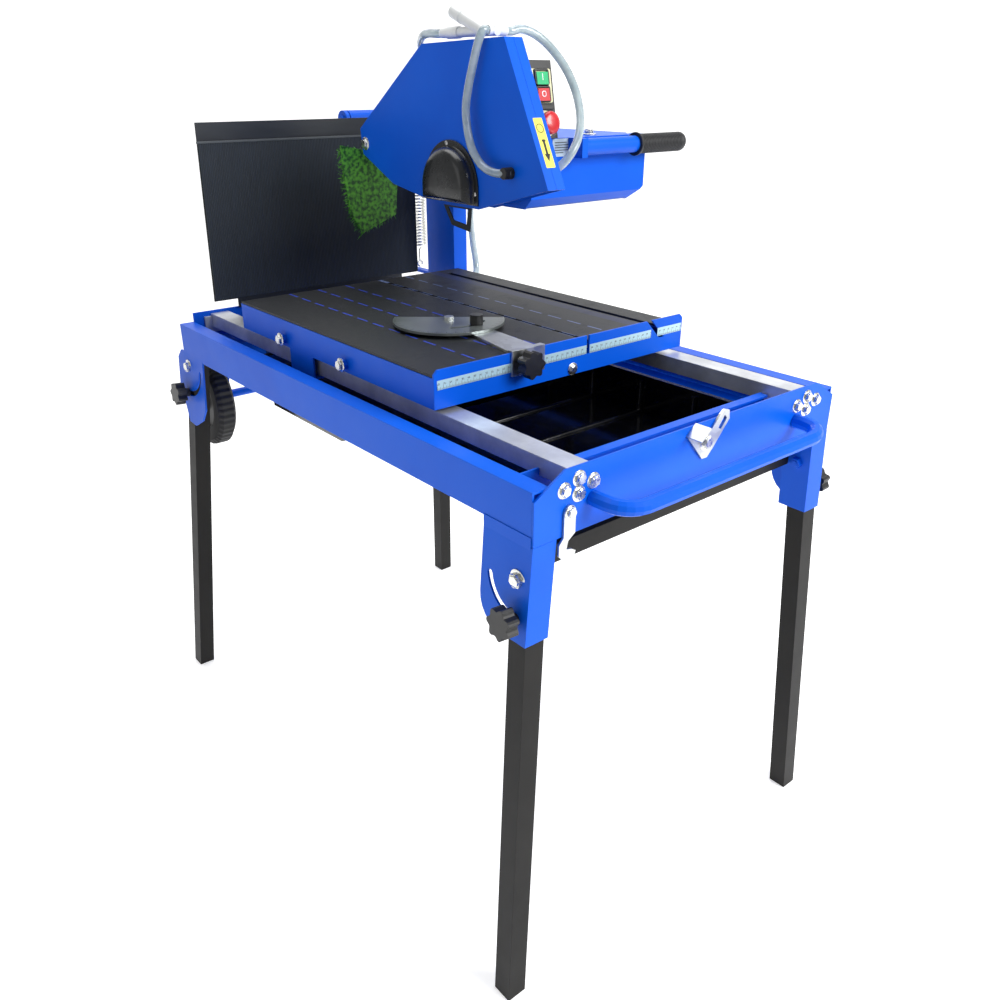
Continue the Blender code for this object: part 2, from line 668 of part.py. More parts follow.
def wheel(side):
    """Moulded wheel with a rubber tread, turned about its axle."""
    near = WHEEL_OUTER - WHEEL_WIDTH
    y, z = AXLE
    profile = [(near, 0.55), (near + 3 * MM, 0.62), (near + 1 * MM, 0.9), (near + 8 * MM, 1.0),
               (WHEEL_OUTER - 8 * MM, 1.0), (WHEEL_OUTER - 1 * MM, 0.9), (WHEEL_OUTER - 3 * MM, 0.62),
               (WHEEL_OUTER - 12 * MM, 0.58), (WHEEL_OUTER - 12 * MM, 0.24), (WHEEL_OUTER - 4 * MM, 0.2)]
    bore = (WHEEL_AXLE_R + GAP) / WHEEL_R
    profile += [(WHEEL_OUTER - 4 * MM, bore), (near, bore)]
    sides = 32
    verts = []
    for x, share in profile:
        verts += [(x, y + WHEEL_R * share * cos(t), z + WHEEL_R * share * sin(t))
                  for t in [2 * pi * i / sides for i in range(sides)]]
    faces = []
    for ring in range(len(profile)):
        after = (ring + 1) % len(profile)
        for i in range(sides):
            j = (i + 1) % sides
            faces.append((ring * sides + i, ring * sides + j, after * sides + j, after * sides + i))
    mesh = mesh_from(verts, faces)
    return mesh if side > 0 else mirrored(mesh)


# Table

def table_frame():
    """Folded sheet table with skirts, front lip, cutting slots and roller axles."""
    left, right = TABLE_LEFT, TABLE_RIGHT
    front, rear = TABLE_FRONT, TABLE_REAR
    top = (MAT_BOTTOM - SHEET, MAT_BOTTOM - GAP)
    parts = [block((left, left + SHEET), (front, rear), (SKIRT_BOTTOM, top[1])),
             block((right - SHEET, right), (front, rear), (SKIRT_BOTTOM, top[1])),
             block((left, right), (rear - SHEET, rear), (SKIRT_BOTTOM + 4 * MM, top[1]))]
    lip_top = TABLE_TOP + LIP_RISE
    lip_right = right + LIP_OVERHANG
    lip = prism("Y", [(left, SKIRT_BOTTOM), (lip_right, SKIRT_BOTTOM), (lip_right, lip_top - 6 * MM),
                      (lip_right - 6 * MM, lip_top), (left + 6 * MM, lip_top), (left, lip_top - 6 * MM)],
                front, front + SHEET)
    sheet = block((left, right), (front, rear), top)
    body = fused(sheet, *parts, lip, *[roller_axle(side, y) for side in SIDES.values() for y in ROLLER_Y])
    return cut(body, *table_slots(front, rear))


def table_slots(front, rear):
    """Blade slot and 45-degree slot, through the lip, and the groove each one leads to."""
    top = TABLE_TOP + LIP_RISE + SHEET
    upright = block((GROOVE_X - GROOVE_WIDTH / 2, GROOVE_X + GROOVE_WIDTH / 2),
                    (front - SHEET, rear - 40 * MM), (TABLE_TOP - 20 * MM, top))
    x, half, drop = BEVEL_GROOVE_X, BEVEL_GROOVE_WIDTH / 2, 25 * MM
    slanted = prism("Y", [(x - half - 12 * MM, top), (x + half - 12 * MM, top),
                          (x + half - 12 * MM + drop + 8 * MM, top - drop - 8 * MM),
                          (x - half - 12 * MM + drop + 8 * MM, top - drop - 8 * MM)], front - SHEET, rear - 40 * MM)
    return upright, slanted


def roller_axle(side, y):
    """Stub axle from the skirt, over a rail's middle."""
    skirt = TABLE_LEFT if side < 0 else TABLE_RIGHT
    outer = skirt + side * 8 * MM
    inner = side * (RAIL_CENTRE - ROLLER_WIDTH / 2 - 6 * MM)
    stub = rod("X", (y, ROLLER_Z), AXLE_R, *sorted((outer, inner)), 12)
    head = rod("X", (y, ROLLER_Z), 7.5 * MM, *sorted((outer, skirt)), 6)
    clip = rod("X", (y, ROLLER_Z), 8 * MM, *sorted((inner, inner + side * 3 * MM)), 12)
    return fused(stub, head, clip)


def roller_span(side):
    """Where a roller sits on its rail, inside the skirt."""
    skirt = TABLE_LEFT if side < 0 else TABLE_RIGHT
    outer = skirt - side * (SHEET + 3 * MM)
    middle = side * RAIL_CENTRE
    outer = side * min(abs(outer), abs(middle) + ROLLER_WIDTH / 2)
    return sorted((outer, side * (RAIL_CENTRE - ROLLER_WIDTH / 2)))


def roller(side, y):
    low, high = roller_span(side)
    body = rod("X", (y, ROLLER_Z), ROLLER_R, low, high)
    return cut(body, rod("X", (y, ROLLER_Z), AXLE_R + GAP, low - SHEET, high + SHEET, 12))


def table_mat():
    """Rubber mat, split by the blade groove and the 45-degree groove."""
    rear = TABLE_REAR - 0.5 * MM
    front = TABLE_FRONT + SHEET + GAP
    mat = block((TABLE_LEFT + 1 * MM, TABLE_RIGHT - 1 * MM), (front, rear), (MAT_BOTTOM, TABLE_TOP))
    grooves = [(GROOVE_X, GROOVE_WIDTH), (BEVEL_GROOVE_X, BEVEL_GROOVE_WIDTH)]
    for x, width in grooves:
        mat = cut(mat, block((x - width / 2, x + width / 2), (front - SHEET, rear - 30 * MM),
                             (MAT_BOTTOM - SHEET, TABLE_TOP + SHEET)))
    return mat


def lift_hook():
    """Hook on the left skirt that passes under the left rail and holds the table down."""
    left = TABLE_LEFT
    low = RAIL_TOP - RAIL_HEIGHT - 6 * MM
    y = (54 * MM, 127 * MM)
    drop = block((left, left + SHEET), y, (low, SKIRT_BOTTOM + 4 * MM))
    return fused(drop, block((left, left + 26 * MM), y, (low, low + SHEET)))


# Mitre guide

GUIDE_X = -69 * MM
GUIDE_Y = -64 * MM
GUIDE_R = 86 * MM
GUIDE_KNOB = (-56 * MM, -116 * MM)
CLAMP_KNOB = (-95 * MM, 812 * MM)
GUIDE_ARM_Z = (TABLE_TOP + 0.5 * MM, TABLE_TOP + 4.5 * MM)


def mitre_bracket():
    """Clamp over the front lip, with the flat arm that carries the protractor."""
    lip_top = TABLE_TOP + LIP_RISE
    x = (CLAMP_KNOB[0] - 20 * MM, CLAMP_KNOB[0] + 40 * MM)
    front = TABLE_FRONT - GAP
    back = TABLE_FRONT + SHEET + GAP
    jaw = block(x, (front - SHEET, front), (CLAMP_KNOB[1] - 18 * MM, lip_top + GAP + SHEET))
    cap = block(x, (front - SHEET, back + SHEET), (lip_top + GAP, lip_top + GAP + SHEET))
    heel = block(x, (back, back + SHEET), (GUIDE_ARM_Z[0], lip_top + GAP + SHEET))
    y_end = GUIDE_Y + 14 * MM
    arm = prism("Z", [(x[0] + 8 * MM, back), (x[1], back), (GUIDE_X + 24 * MM, GUIDE_KNOB[1] - 12 * MM),
                      (GUIDE_X + 20 * MM, y_end), (GUIDE_X - 12 * MM, y_end),
                      (GUIDE_X - 14 * MM, GUIDE_KNOB[1] - 12 * MM)], *GUIDE_ARM_Z)
    hole = rod("Y", CLAMP_KNOB, 4 * MM + GAP, front - 3 * SHEET, front + SHEET / 2, 16)
    stud_hole = rod("Z", GUIDE_KNOB, 3 * MM + GAP, GUIDE_ARM_Z[0] - SHEET, GUIDE_ARM_Z[1] + SHEET, 16)
    pin = rod("Z", (GUIDE_X, GUIDE_Y), 4 * MM, GUIDE_ARM_Z[0], GUIDE_ARM_Z[1] + 5 * MM, 16)
    head = rod("Z", (GUIDE_X, GUIDE_Y), 8 * MM, GUIDE_ARM_Z[1] + 4.6 * MM, GUIDE_ARM_Z[1] + 9 * MM, 6)
    return fused(cut(fused(jaw, cap, heel, arm), hole, stud_hole), pin, head)


def protractor():
    """Half-round plate with a stop edge, turned about the pin at its centre."""
    centre = (GUIDE_X, GUIDE_Y)
    low = GUIDE_ARM_Z[1] + GAP
    plate = prism("Z", circle(centre, GUIDE_R, 30, radians(130), radians(200)), low, low + 4 * MM)
    offset = Vector(GUIDE_KNOB) - Vector(centre)
    angle = atan2(offset.y, offset.x) + 2 * pi
    slot = arc_slot(centre, offset.length, 3.6 * MM, angle - radians(47), angle + radians(27), 10)
    hole = rod("Z", centre, 4 * MM + GAP, low - SHEET, low + 4 * SHEET, 16)
    return cut(plate, prism("Z", slot, low - SHEET, low + 3 * SHEET), hole)


def guide_knob():
    low = GUIDE_ARM_Z[1] + GAP + 4 * MM + GAP
    stud = rod("Z", GUIDE_KNOB, 3 * MM, GUIDE_ARM_Z[0] + 0.5 * MM, low + 1 * MM, 16)
    return fused(stud, rod("Z", GUIDE_KNOB, 10 * MM, low, low + 15 * MM, 18))


def clamp_knob():
    base = TABLE_FRONT - GAP - SHEET - GAP
    stud = rod("Y", CLAMP_KNOB, 4 * MM, base - 8 * MM, TABLE_FRONT - GAP, 16)
    stem = rod("Y", CLAMP_KNOB, 8 * MM, base - 9 * MM, base, 16)
    head = prism("Y", star(CLAMP_KNOB, 20 * MM), base - 24 * MM, base - 8 * MM)
    return fused(stud, stem, head)


# Front catches

LOCK_BOLT = (-4 * MM, 747 * MM)
LATCH_BOLT = (-241.5 * MM, 720 * MM)


def lock_bracket():
    """Slotted plate that swings up and holds the sliding table for transport."""
    back = FRAME_FRONT - GAP
    outline = points_mm((-8, 724), (2, 724), (14, 736), (42, 768), (40, 780), (30, 783), (22, 778),
                        (6, 760), (-24, 776), (-41, 762))
    plate = prism("Y", outline, back - SHEET, back)
    slot = prism("Y", points_mm((20, 760), (26, 757), (36, 770), (31, 775)), back - 2 * SHEET, back + SHEET)
    flap = prism("Y", points_mm((-41, 762), (-24, 776), (-22, 774), (-39, 760)), back - 24 * MM, back)
    head = rod("Y", LOCK_BOLT, 8 * MM, back - SHEET - 6 * MM, back - SHEET + 1 * MM, 6)
    return fused(cut(plate, slot), flap, head)


def hook_latch():
    """Hanging hook beside the left housing."""
    x, z = LATCH_BOLT
    back = FRAME_FRONT - GAP
    outline = [*circle(LATCH_BOLT, 9 * MM, 8, 0, pi), (x - 9 * MM, z - 30 * MM), (x - 16 * MM, z - 38 * MM),
               (x - 16 * MM, z - 52 * MM), (x - 8 * MM, z - 60 * MM), (x + 8 * MM, z - 60 * MM),
               (x + 11 * MM, z - 52 * MM), (x + 4 * MM, z - 48 * MM), (x - 4 * MM, z - 46 * MM),
               (x - 2 * MM, z - 36 * MM), (x + 9 * MM, z - 28 * MM)]
    plate = prism("Y", outline, back - SHEET, back)
    return fused(plate, rod("Y", LATCH_BOLT, 6 * MM, back - SHEET - 5 * MM, back - SHEET + 1 * MM, 6))


# Head

GUARD_TOP = [(-190 * MM, 1022 * MM), (-92 * MM, 1219 * MM), (107 * MM, 1214 * MM), (249 * MM, 1119 * MM),
             (299 * MM, 1085 * MM), (293 * MM, 1044 * MM)]
GUARD_BOTTOM = [(202 * MM, 1001 * MM), (106 * MM, 985 * MM), (-32 * MM, 981 * MM)]


def inset(points, centre, distance):
    """Each point moved towards a centre by a distance."""
    middle = Vector(centre)
    return [tuple(Vector(p) + (middle - Vector(p)).normalized() * distance) for p in points]


def guard_half(left, right, open_side):
    """One half of the blade guard: a side sheet and a rim, open at the blade's side and below."""
    solid = prism("X", [*GUARD_TOP, *GUARD_BOTTOM], left, right)
    inner = inset(GUARD_TOP, SPINDLE, GUARD_SHEET * 1.5)
    inner = [(inner[0][0] + 2 * MM, inner[0][1] - 60 * MM), *inner, (inner[-1][0] - 2 * MM, inner[-1][1] - 60 * MM)]
    inner = [inner[0], *inner[1:-1], inner[-1], (100 * MM, 900 * MM)]
    low = left - SHEET if open_side < 0 else left + GUARD_SHEET
    high = right + SHEET if open_side > 0 else right - GUARD_SHEET
    shell = cut(solid, prism("X", inner, low, high))
    hole = rod("X", SPINDLE, SPINDLE_R + 5 * MM, left - SHEET, right + SHEET)
    return cut(shell, hole)


def guard_cover():
    """Left half of the guard, with the folded guide below the hub."""
    shell = guard_half(GUARD_LEFT, GROOVE_X - GAP, 1)
    y = SPINDLE[0]
    lip_z = GUARD_BOTTOM[-1][1] + 3 * MM
    tab = block((GUARD_LEFT, GUARD_LEFT + 9 * MM), (y - 40 * MM, y + 36 * MM), (lip_z, lip_z + 2.5 * MM))
    outline = [(y - 42 * MM, lip_z + 2.5 * MM), (y - 36 * MM, 943 * MM), (y + 11 * MM, 949 * MM),
               (y + 37 * MM, lip_z + 2.5 * MM)]
    window = [(y - 33 * MM, lip_z - 7 * MM), (y - 28 * MM, 953 * MM), (y + 6 * MM, 957 * MM),
              (y + 21 * MM, lip_z - 7 * MM)]
    plate = prism("X", outline, GUARD_LEFT + 7 * MM, GUARD_LEFT + 9 * MM)
    return fused(shell, tab, cut(plate, prism("X", window, GUARD_LEFT, GUARD_LEFT + 20 * MM)))


def hub_cover():
    """Arched cover over the spindle nut, open below."""
    y, z = SPINDLE
    back = GUARD_LEFT - GAP
    radius = BLADE_R * 0.394
    low = z - 25 * MM
    outer = [*circle((y, z), radius, 18, 0, pi), (y - radius, low), (y + radius, low)]
    thin = radius - GUARD_SHEET
    inner = [*circle((y, z), thin, 18, 0, pi), (y - thin, low - SHEET), (y + thin, low - SHEET)]
    front = back - 26 * MM
    return cut(prism("X", outer, front, back), prism("X", inner, front + GUARD_SHEET, back + SHEET))


def spindle():
    """Spindle with its two flanges, its nut and its pulley."""
    y, z = SPINDLE
    shaft = rod("X", SPINDLE, SPINDLE_R, GUARD_LEFT + 2 * MM, PULLEY_X + PULLEY_WIDTH + 2 * MM)
    flange = rod("X", SPINDLE, 32 * MM, GROOVE_X + 1.8 * MM, GROOVE_X + 6 * MM)
    outer = rod("X", SPINDLE, 32 * MM, GROOVE_X - 6 * MM, GROOVE_X + 2 * MM)
    nut = rod("X", SPINDLE, 22 * MM, GUARD_LEFT + 4 * MM, GROOVE_X - 5 * MM, 6)
    pulley = rod("X", SPINDLE, SPINDLE_PULLEY_R, PULLEY_X, PULLEY_X + PULLEY_WIDTH)
    return fused(shaft, flange, outer, nut, pulley)


def motor_pulley():
    shaft = rod("X", MOTOR, 9 * MM, ARM_X + 2 * MM, PULLEY_X + PULLEY_WIDTH + 2 * MM, 20)
    return fused(shaft, rod("X", MOTOR, PULLEY_R, PULLEY_X, PULLEY_X + PULLEY_WIDTH))


def belt_loop(extra):
    """Outline round both pulleys at a distance outside them."""
    small, big = Vector(SPINDLE), Vector(MOTOR)
    along = atan2(big.y - small.y, big.x - small.x)
    near = circle(SPINDLE, SPINDLE_PULLEY_R + extra, 14, along + pi / 2, pi)
    far = circle(MOTOR, PULLEY_R + extra, 14, along - pi / 2, pi)
    return near + far


def drive_belt():
    low = PULLEY_X + 2 * MM
    high = PULLEY_X + PULLEY_WIDTH - 2 * MM
    loop = prism("X", belt_loop(GAP + BELT_THICK), low, high)
    return cut(loop, prism("X", belt_loop(GAP), low - SHEET, high + SHEET))


def motor():
    """Electric motor: a round body with a fan cowl and a terminal box."""
    right = ARM_X - GAP
    left = right - MOTOR_LENGTH
    body = rod("X", MOTOR, MOTOR_R - 4 * MM, left + 6 * MM, right, 32)
    cowl = rod("X", MOTOR, MOTOR_R, left, left + 42 * MM, 32)
    face = rod("X", MOTOR, MOTOR_R, right - 12 * MM, right, 32)
    y, z = MOTOR
    box = block((left + 70 * MM, left + 140 * MM), (y - 32 * MM, y + 32 * MM),
                (z + MOTOR_R - 14 * MM, z + MOTOR_R + 16 * MM))
    bore = rod("X", MOTOR, 11 * MM, right - 30 * MM, right + SHEET, 20)
    return cut(fused(body, cowl, face, box), bore)


def head_arm():
    """Arm from the hinge tube to the spindle's bearing tube, with the motor's face plate."""
    y, z = SPINDLE
    hinge_y, hinge_z = HINGE
    strip = (hinge_z - 8 * MM, hinge_z + 14 * MM)
    outline = [(y - 34 * MM, z - 22 * MM), (y + 40 * MM, z - 22 * MM), (MOTOR[0] + 30 * MM, MOTOR[1] - 60 * MM),
               (POST_Y - 50 * MM, MOTOR[1] - 20 * MM), (POST_Y - 26 * MM, strip[0]), (hinge_y, strip[0]),
               (hinge_y, strip[1]), (MOTOR[0] + 40 * MM, strip[1]), (MOTOR[0] - 60 * MM, COVER_TOP - 6 * MM),
               (y - 34 * MM, z + 34 * MM)]
    plate = prism("X", outline, ARM_X, ARM_RIGHT)
    hinge = rod("X", HINGE, HINGE_TUBE_R, HINGE_LEFT, HINGE_RIGHT)
    bearing = rod("X", SPINDLE, SPINDLE_TUBE_R, COVER_LEFT + SHEET, ARM_RIGHT)
    nose = rod("X", SPINDLE, SPINDLE_TUBE_R - 4 * MM, GUARD_RIGHT + GAP, COVER_LEFT + 2 * SHEET)
    lever = block((SPRING[0] - 6 * MM, SPRING[0] + 6 * MM), (hinge_y + 8 * MM, SPRING[1] + 6 * MM),
                  (hinge_z - 12 * MM, hinge_z))
    body = fused(plate, bearing, nose, hinge, lever)
    wide = FRAME_WIDTH
    pin_hole = rod("X", HINGE, HINGE_PIN_R + GAP, -wide, wide)
    bore = rod("X", SPINDLE, SPINDLE_R + 1 * MM, -wide, wide)
    motor_hole = rod("X", MOTOR, 11 * MM, -wide, wide, 20)
    return cut(body, pin_hole, bore, motor_hole)


def tilt_yoke():
    """Shaft through the post's sleeve, with a plate and two lugs that hold the hinge pin."""
    centre = (POST_CENTRE, TILT_Z)
    rear = POST_Y + POST_DEPTH + 2 * MM + GAP
    hinge_y, hinge_z = HINGE
    left = HINGE_LEFT - 10 * MM
    right = HINGE_RIGHT + 10 * MM
    shaft = rod("Y", centre, SHAFT_R, POST_Y - 20 * MM, rear + 2 * MM)
    flange = rod("Y", centre, SLEEVE_R + 2 * MM, rear, rear + 9 * MM)
    plate = block((left, right), (rear + 7 * MM, hinge_y + HINGE_TUBE_R + 2 * MM),
                  (TILT_Z - 6 * MM, TILT_Z + 6 * MM))
    body = fused(shaft, flange, plate)
    top = circle(HINGE, HINGE_TUBE_R, 10, 0, pi)
    lug = [*top, (hinge_y - HINGE_TUBE_R, TILT_Z), (hinge_y + HINGE_TUBE_R, TILT_Z)]
    for low in (left, right - 8 * MM):
        body = fused(body, prism("X", lug, low, low + 8 * MM))
    return fused(body, rod("X", HINGE, HINGE_PIN_R, left - 4 * MM, right + 4 * MM))


def tilt_lever():
    """Clamp lever on the front end of the tilt shaft."""
    x, z = POST_CENTRE, TILT_Z
    rear = POST_Y - 3 * MM - GAP
    hub = rod("Y", (x, z), SHAFT_R + 5 * MM, rear - 14 * MM, rear)
    blade = prism("Y", [(x - 6 * MM, z), (x + 6 * MM, z), (x + 4 * MM, z - 78 * MM), (x - 4 * MM, z - 78 * MM)],
                  rear - 11 * MM, rear - 3 * MM)
    knob = rod("Z", (x, rear - 7 * MM), 8 * MM, z - 104 * MM, z - 72 * MM, 16)
    return cut(fused(hub, blade, knob), rod("Y", (x, z), SHAFT_R + GAP, rear - 20 * MM, rear + SHEET))


def cover_profile(inward, low):
    """Side outline of the cover, with a sloping strip under its front; inward shrinks it."""
    front = COVER_FRONT + inward
    rear = COVER_FRONT + COVER_DEPTH
    return [(front, COVER_BOTTOM + 15 * MM + inward / 2), (front, COVER_TOP - inward), (rear, COVER_TOP - inward),
            (rear, low), (COVER_FRONT + 14 * MM + inward, low)]


def cover_corner(inward):
    """Wedge that takes off the cover's lower right corner, in front of the pulleys."""
    right = COVER_RIGHT + 1 * MM
    low = COVER_BOTTOM - 2 * SHEET
    foot = COVER_RIGHT - 25 * MM - inward * 1.6 - 2 * SHEET * 1.25
    rise = COVER_BOTTOM + 21 * MM + inward * 1.3
    return prism("Y", [(foot, low), (right, low), (right, rise)], COVER_FRONT - 1 * MM, -22 * MM + inward)


def belt_cover():
    """Folded cover over the spindle and the belt, open behind and below, with the welded handle."""
    thin = GUARD_SHEET
    strip_left = COVER_RIGHT - STRIP_WIDTH
    box = prism("X", cover_profile(0, COVER_BOTTOM), COVER_LEFT, COVER_RIGHT)
    strip = block((strip_left, COVER_RIGHT), (0, STRIP_REAR), (COVER_BOTTOM, COVER_TOP))
    hollow = prism("X", cover_profile(thin, COVER_BOTTOM - SHEET), COVER_LEFT + thin, COVER_RIGHT - thin)
    back_gate = block((COVER_LEFT + thin, COVER_RIGHT - thin), (0, COVER_FRONT + COVER_DEPTH + SHEET),
                      (COVER_BOTTOM - SHEET, COVER_TOP - thin))
    strip_hollow = block((strip_left + thin, COVER_RIGHT - thin), (0, STRIP_REAR - thin),
                         (COVER_BOTTOM - SHEET, COVER_TOP - thin))
    y, z = SPINDLE
    notch = SPINDLE_TUBE_R + 2 * MM
    gate = fused(rod("X", SPINDLE, notch, COVER_LEFT - SHEET, COVER_LEFT + 2 * SHEET),
                 block((COVER_LEFT - SHEET, COVER_LEFT + 2 * SHEET), (y - notch, y + notch), (z - 60 * MM, z)))
    slit = block((strip_left - SHEET, strip_left + 2 * SHEET), (MOTOR[0] - 13 * MM, MOTOR[0] + 13 * MM),
                 (COVER_BOTTOM - SHEET, MOTOR[1] + 13 * MM))
    inside = fused(cut(hollow, cover_corner(thin)), back_gate, strip_hollow)
    return fused(cut(cut(fused(box, strip), cover_corner(0)), inside, gate, slit), handle_tube())


def handle_tube():
    """Round tube for the grip, with its weld plate on the cover's front."""
    y, z = HANDLE
    tube = rod("X", HANDLE, HANDLE_R, HANDLE_LEFT, GRIP_END - 8 * MM)
    half = HANDLE_R + 2 * MM
    plate = block((HANDLE_LEFT - 5 * MM, HANDLE_LEFT + 7 * MM), (y - HANDLE_R, COVER_FRONT + 1 * MM),
                  (z - half, min(z + half, COVER_TOP)))
    return fused(tube, plate)


def handle_grip():
    grip = rod("X", HANDLE, HANDLE_R + 2.5 * MM, GRIP_START, GRIP_END)
    return cut(grip, rod("X", HANDLE, HANDLE_R + GAP, GRIP_START - SHEET, GRIP_END - 8 * MM + GAP))


# Switch box

SWITCH_X = (53 * MM, 99 * MM)
SWITCH_FRONT = -120 * MM
SWITCH_TOP = 1190 * MM
SWITCH_MIDDLE = (SWITCH_X[0] + SWITCH_X[1]) / 2
BUTTONS = {"start": 1167 * MM, "stop": 1145 * MM, "estop": 1105 * MM}


def on_switch(mesh):
    """Lean a solid made on an upright face back to the switch box's sloping face."""
    return turned(mesh, "X", (0, SWITCH_FRONT, COVER_TOP), -SWITCH_LEAN)


def push_button(z, spare, depth):
    """A flat push button; the spare makes the pocket that it slides in."""
    half = 11 * MM + spare
    tall = 8.5 * MM + spare
    front = SWITCH_FRONT - 5 * MM
    return on_switch(block((SWITCH_MIDDLE - half, SWITCH_MIDDLE + half), (front, SWITCH_FRONT + depth),
                           (z - tall, z + tall)))


def stop_button():
    """Mushroom head for the emergency stop, on a round stem."""
    spot = (SWITCH_MIDDLE, BUTTONS["estop"])
    head = rod("Y", spot, 16 * MM, SWITCH_FRONT - 19 * MM, SWITCH_FRONT - 7 * MM)
    stem = rod("Y", spot, 10 * MM, SWITCH_FRONT - 8 * MM, SWITCH_FRONT + 6 * MM)
    return on_switch(fused(head, stem))


def switch_box():
    back = SWITCH_TOP - COVER_TOP
    bottom = COVER_TOP + GAP
    outline = [(SWITCH_FRONT, bottom), (SWITCH_FRONT + back * tan(SWITCH_LEAN), SWITCH_TOP),
               (SWITCH_FRONT + 66 * MM, SWITCH_TOP), (SWITCH_FRONT + 72 * MM, bottom)]
    body = prism("X", outline, *SWITCH_X)
    pockets = [push_button(BUTTONS[name], GAP, 12 * MM) for name in ("start", "stop")]
    spot = (SWITCH_MIDDLE, BUTTONS["estop"])
    pockets.append(on_switch(rod("Y", spot, 10 * MM + GAP, SWITCH_FRONT - 9 * MM, SWITCH_FRONT + 14 * MM)))
    return cut(body, *pockets)


# Water parts

PIPE_Z = 1228 * MM
TEE_Y = -51 * MM
VALVE_START = -26 * MM
VALVE_ANGLE = radians(22)


def on_valve(mesh):
    """Raise a solid made along the pipe to the slope of the valve's stem."""
    return turned(mesh, "X", (GROOVE_X, VALVE_START, PIPE_Z), VALVE_ANGLE)


def water_tee():
    """Pipe along the guard's top with a tee in front and the sloping body of the shut-off valve."""
    run = rod("Y", (GROOVE_X, PIPE_Z), 7 * MM, TEE_Y - 7 * MM, 74 * MM)
    branch = rod("X", (TEE_Y, PIPE_Z), 7 * MM, GROOVE_X - 13 * MM, GROOVE_X + 21 * MM)
    body = on_valve(rod("Y", (GROOVE_X, PIPE_Z), 9 * MM, VALVE_START, VALVE_START + 52 * MM))
    collar = rod("Y", (GROOVE_X, PIPE_Z), 8.5 * MM, 30 * MM, 58 * MM)
    return fused(run, branch, body, collar)


def valve_handle():
    """Round grip on the end of the valve's sloping stem."""
    start = VALVE_START + 52 * MM + GAP
    grip = rod("Y", (GROOVE_X, PIPE_Z), 10 * MM, start, start + 24 * MM, 20)
    return on_valve(grip)


LEFT_HOSE = points_mm((20, -51, 1228), (18, -51, 1228), (12, -51, 1227), (6, -48, 1212), (4, -38, 1183),
                      (3, -27, 1150), (1, -24, 1123), (0, -29, 1096), (0, -40, 1069), (1, -62, 1048),
                      (2, -89, 1040), (7, -110, 1040), (14.8, -110, 1040))
RIGHT_HOSE = points_mm((55.6, -51, 1228), (66, -51, 1228), (82, -55, 1231), (106, -60, 1224),
                       (125, -72, 1207), (139, -90, 1180), (142, -110, 1149), (130, -134, 1117),
                       (114, -149, 1090), (97, -155, 1070), (82, -150, 1052), (66, -140, 1041),
                       (51.8, -140, 1041))
SUPPLY_HOSE = points_mm((34, 74.6, 1228), (34, 90, 1228), (37, 112, 1229), (44, 140, 1226),
                        (76, 190, 1212), (140, 240, 1190), (210, 280, 1160), (268, 312, 1115),
                        (298, 332, 1060), (304, 345, 990), (302, 352, 912), (312, 358, 855),
                        (319, 357, 811), (310, 347, 789), (284, 336, 776), (260, 334, 764),
                        (247, 338, 742), (232, 338, 732), (206, 338, 734), (184, 330, 741),
                        (170, 308, 746), (168, 280, 726), (168, 262, 700), (168, 262, 640))


def turf_flap():
    """Piece of artificial turf hung behind the guard to catch spray."""
    outline = points_mm((-22, 1020), (-10, 942), (13, 908), (85, 934), (91, 992), (20, 1050), (-24, 1059))
    rear = GUARD_TOP[4][0] + 1.5 * MM
    return prism("Y", outline, rear, rear + 12 * MM)


def head_spring():
    """Counterbalance spring behind the post, with straight end wires."""
    low, high = SPRING_Z
    coil = rod("Z", SPRING, SPRING_R, low, high)
    lower = rod("Z", SPRING, 2 * MM, low - 45 * MM + GAP, low + 1 * MM, 10)
    upper = rod("Z", SPRING, 2 * MM, high - 1 * MM, HINGE[1] - 12 * MM - GAP, 10)
    return fused(coil, lower, upper)


# Assembly

def build_frame(looks):
    blue, black, steel = looks["blue"], looks["black"], looks["rail"]
    notch = block((HALF - BEAM_FLANGE - SHEET, POST_X + POST_WIDTH + GAP),
                  (POST_Y - GAP, POST_Y + POST_DEPTH + GAP), (BEAM_TOP - 2 * SHEET, BEAM_TOP + SHEET))
    piece("right_beam", cut(side_beam(), notch), blue)
    piece("left_beam", mirrored(side_beam()), blue)
    piece("front_plate", front_plate(), blue)
    piece("rear_plate", rear_plate(), blue)
    piece("front_tie", front_tie(), black)
    piece("rear_tie", rear_tie(), black)
    piece("cross_member", cross_member(), blue)
    piece("right_rail", rail(), steel)
    piece("left_rail", mirrored(rail()), steel)
    piece("push_handle", push_handle(), blue)
    piece("water_tray", tray(), looks["tray"])
    piece("post", post(), blue)
    piece("splash_panel", panel(), looks["panel"])
    piece("splash_rubber", panel_rubber(), looks["rubber"])
    piece("supply_hose", swept(SUPPLY_HOSE, 6.5 * MM, 2, per_span=2), looks["hose"])
    for side, sign in SIDES.items():
        hub = anchor(f"{side}_wheel_axis", (sign * WHEEL_OUTER, *AXLE))
        piece(f"{side}_wheel", wheel(sign), looks["tyre"], hub)


def build_legs(looks):
    pairs = {"front": ((FRONT_PIVOT_Y, FRONT_PIVOT_Z), -FRONT_LEAN),
             "rear": ((REAR_PIVOT_Y, REAR_PIVOT_Z), REAR_LEAN)}
    for end, (pivot, lean) in pairs.items():
        spot = lock_spot(pivot, lean)
        for side, sign in SIDES.items():
            limb, knob = leg(pivot, lean), lock_knob(spot)
            if sign < 0:
                limb, knob = mirrored(limb), mirrored(knob)
            axis = anchor(f"{end}_{side}_leg_axis", (sign * (HALF + splay_shift(pivot[1])), *pivot))
            piece(f"{end}_{side}_leg", limb, looks["black"], axis)
            stud = anchor(f"{end}_{side}_knob_axis", (sign * (HALF + splay_shift(spot[1])), *spot), axis)
            piece(f"{end}_{side}_knob", knob, looks["plastic"], stud)


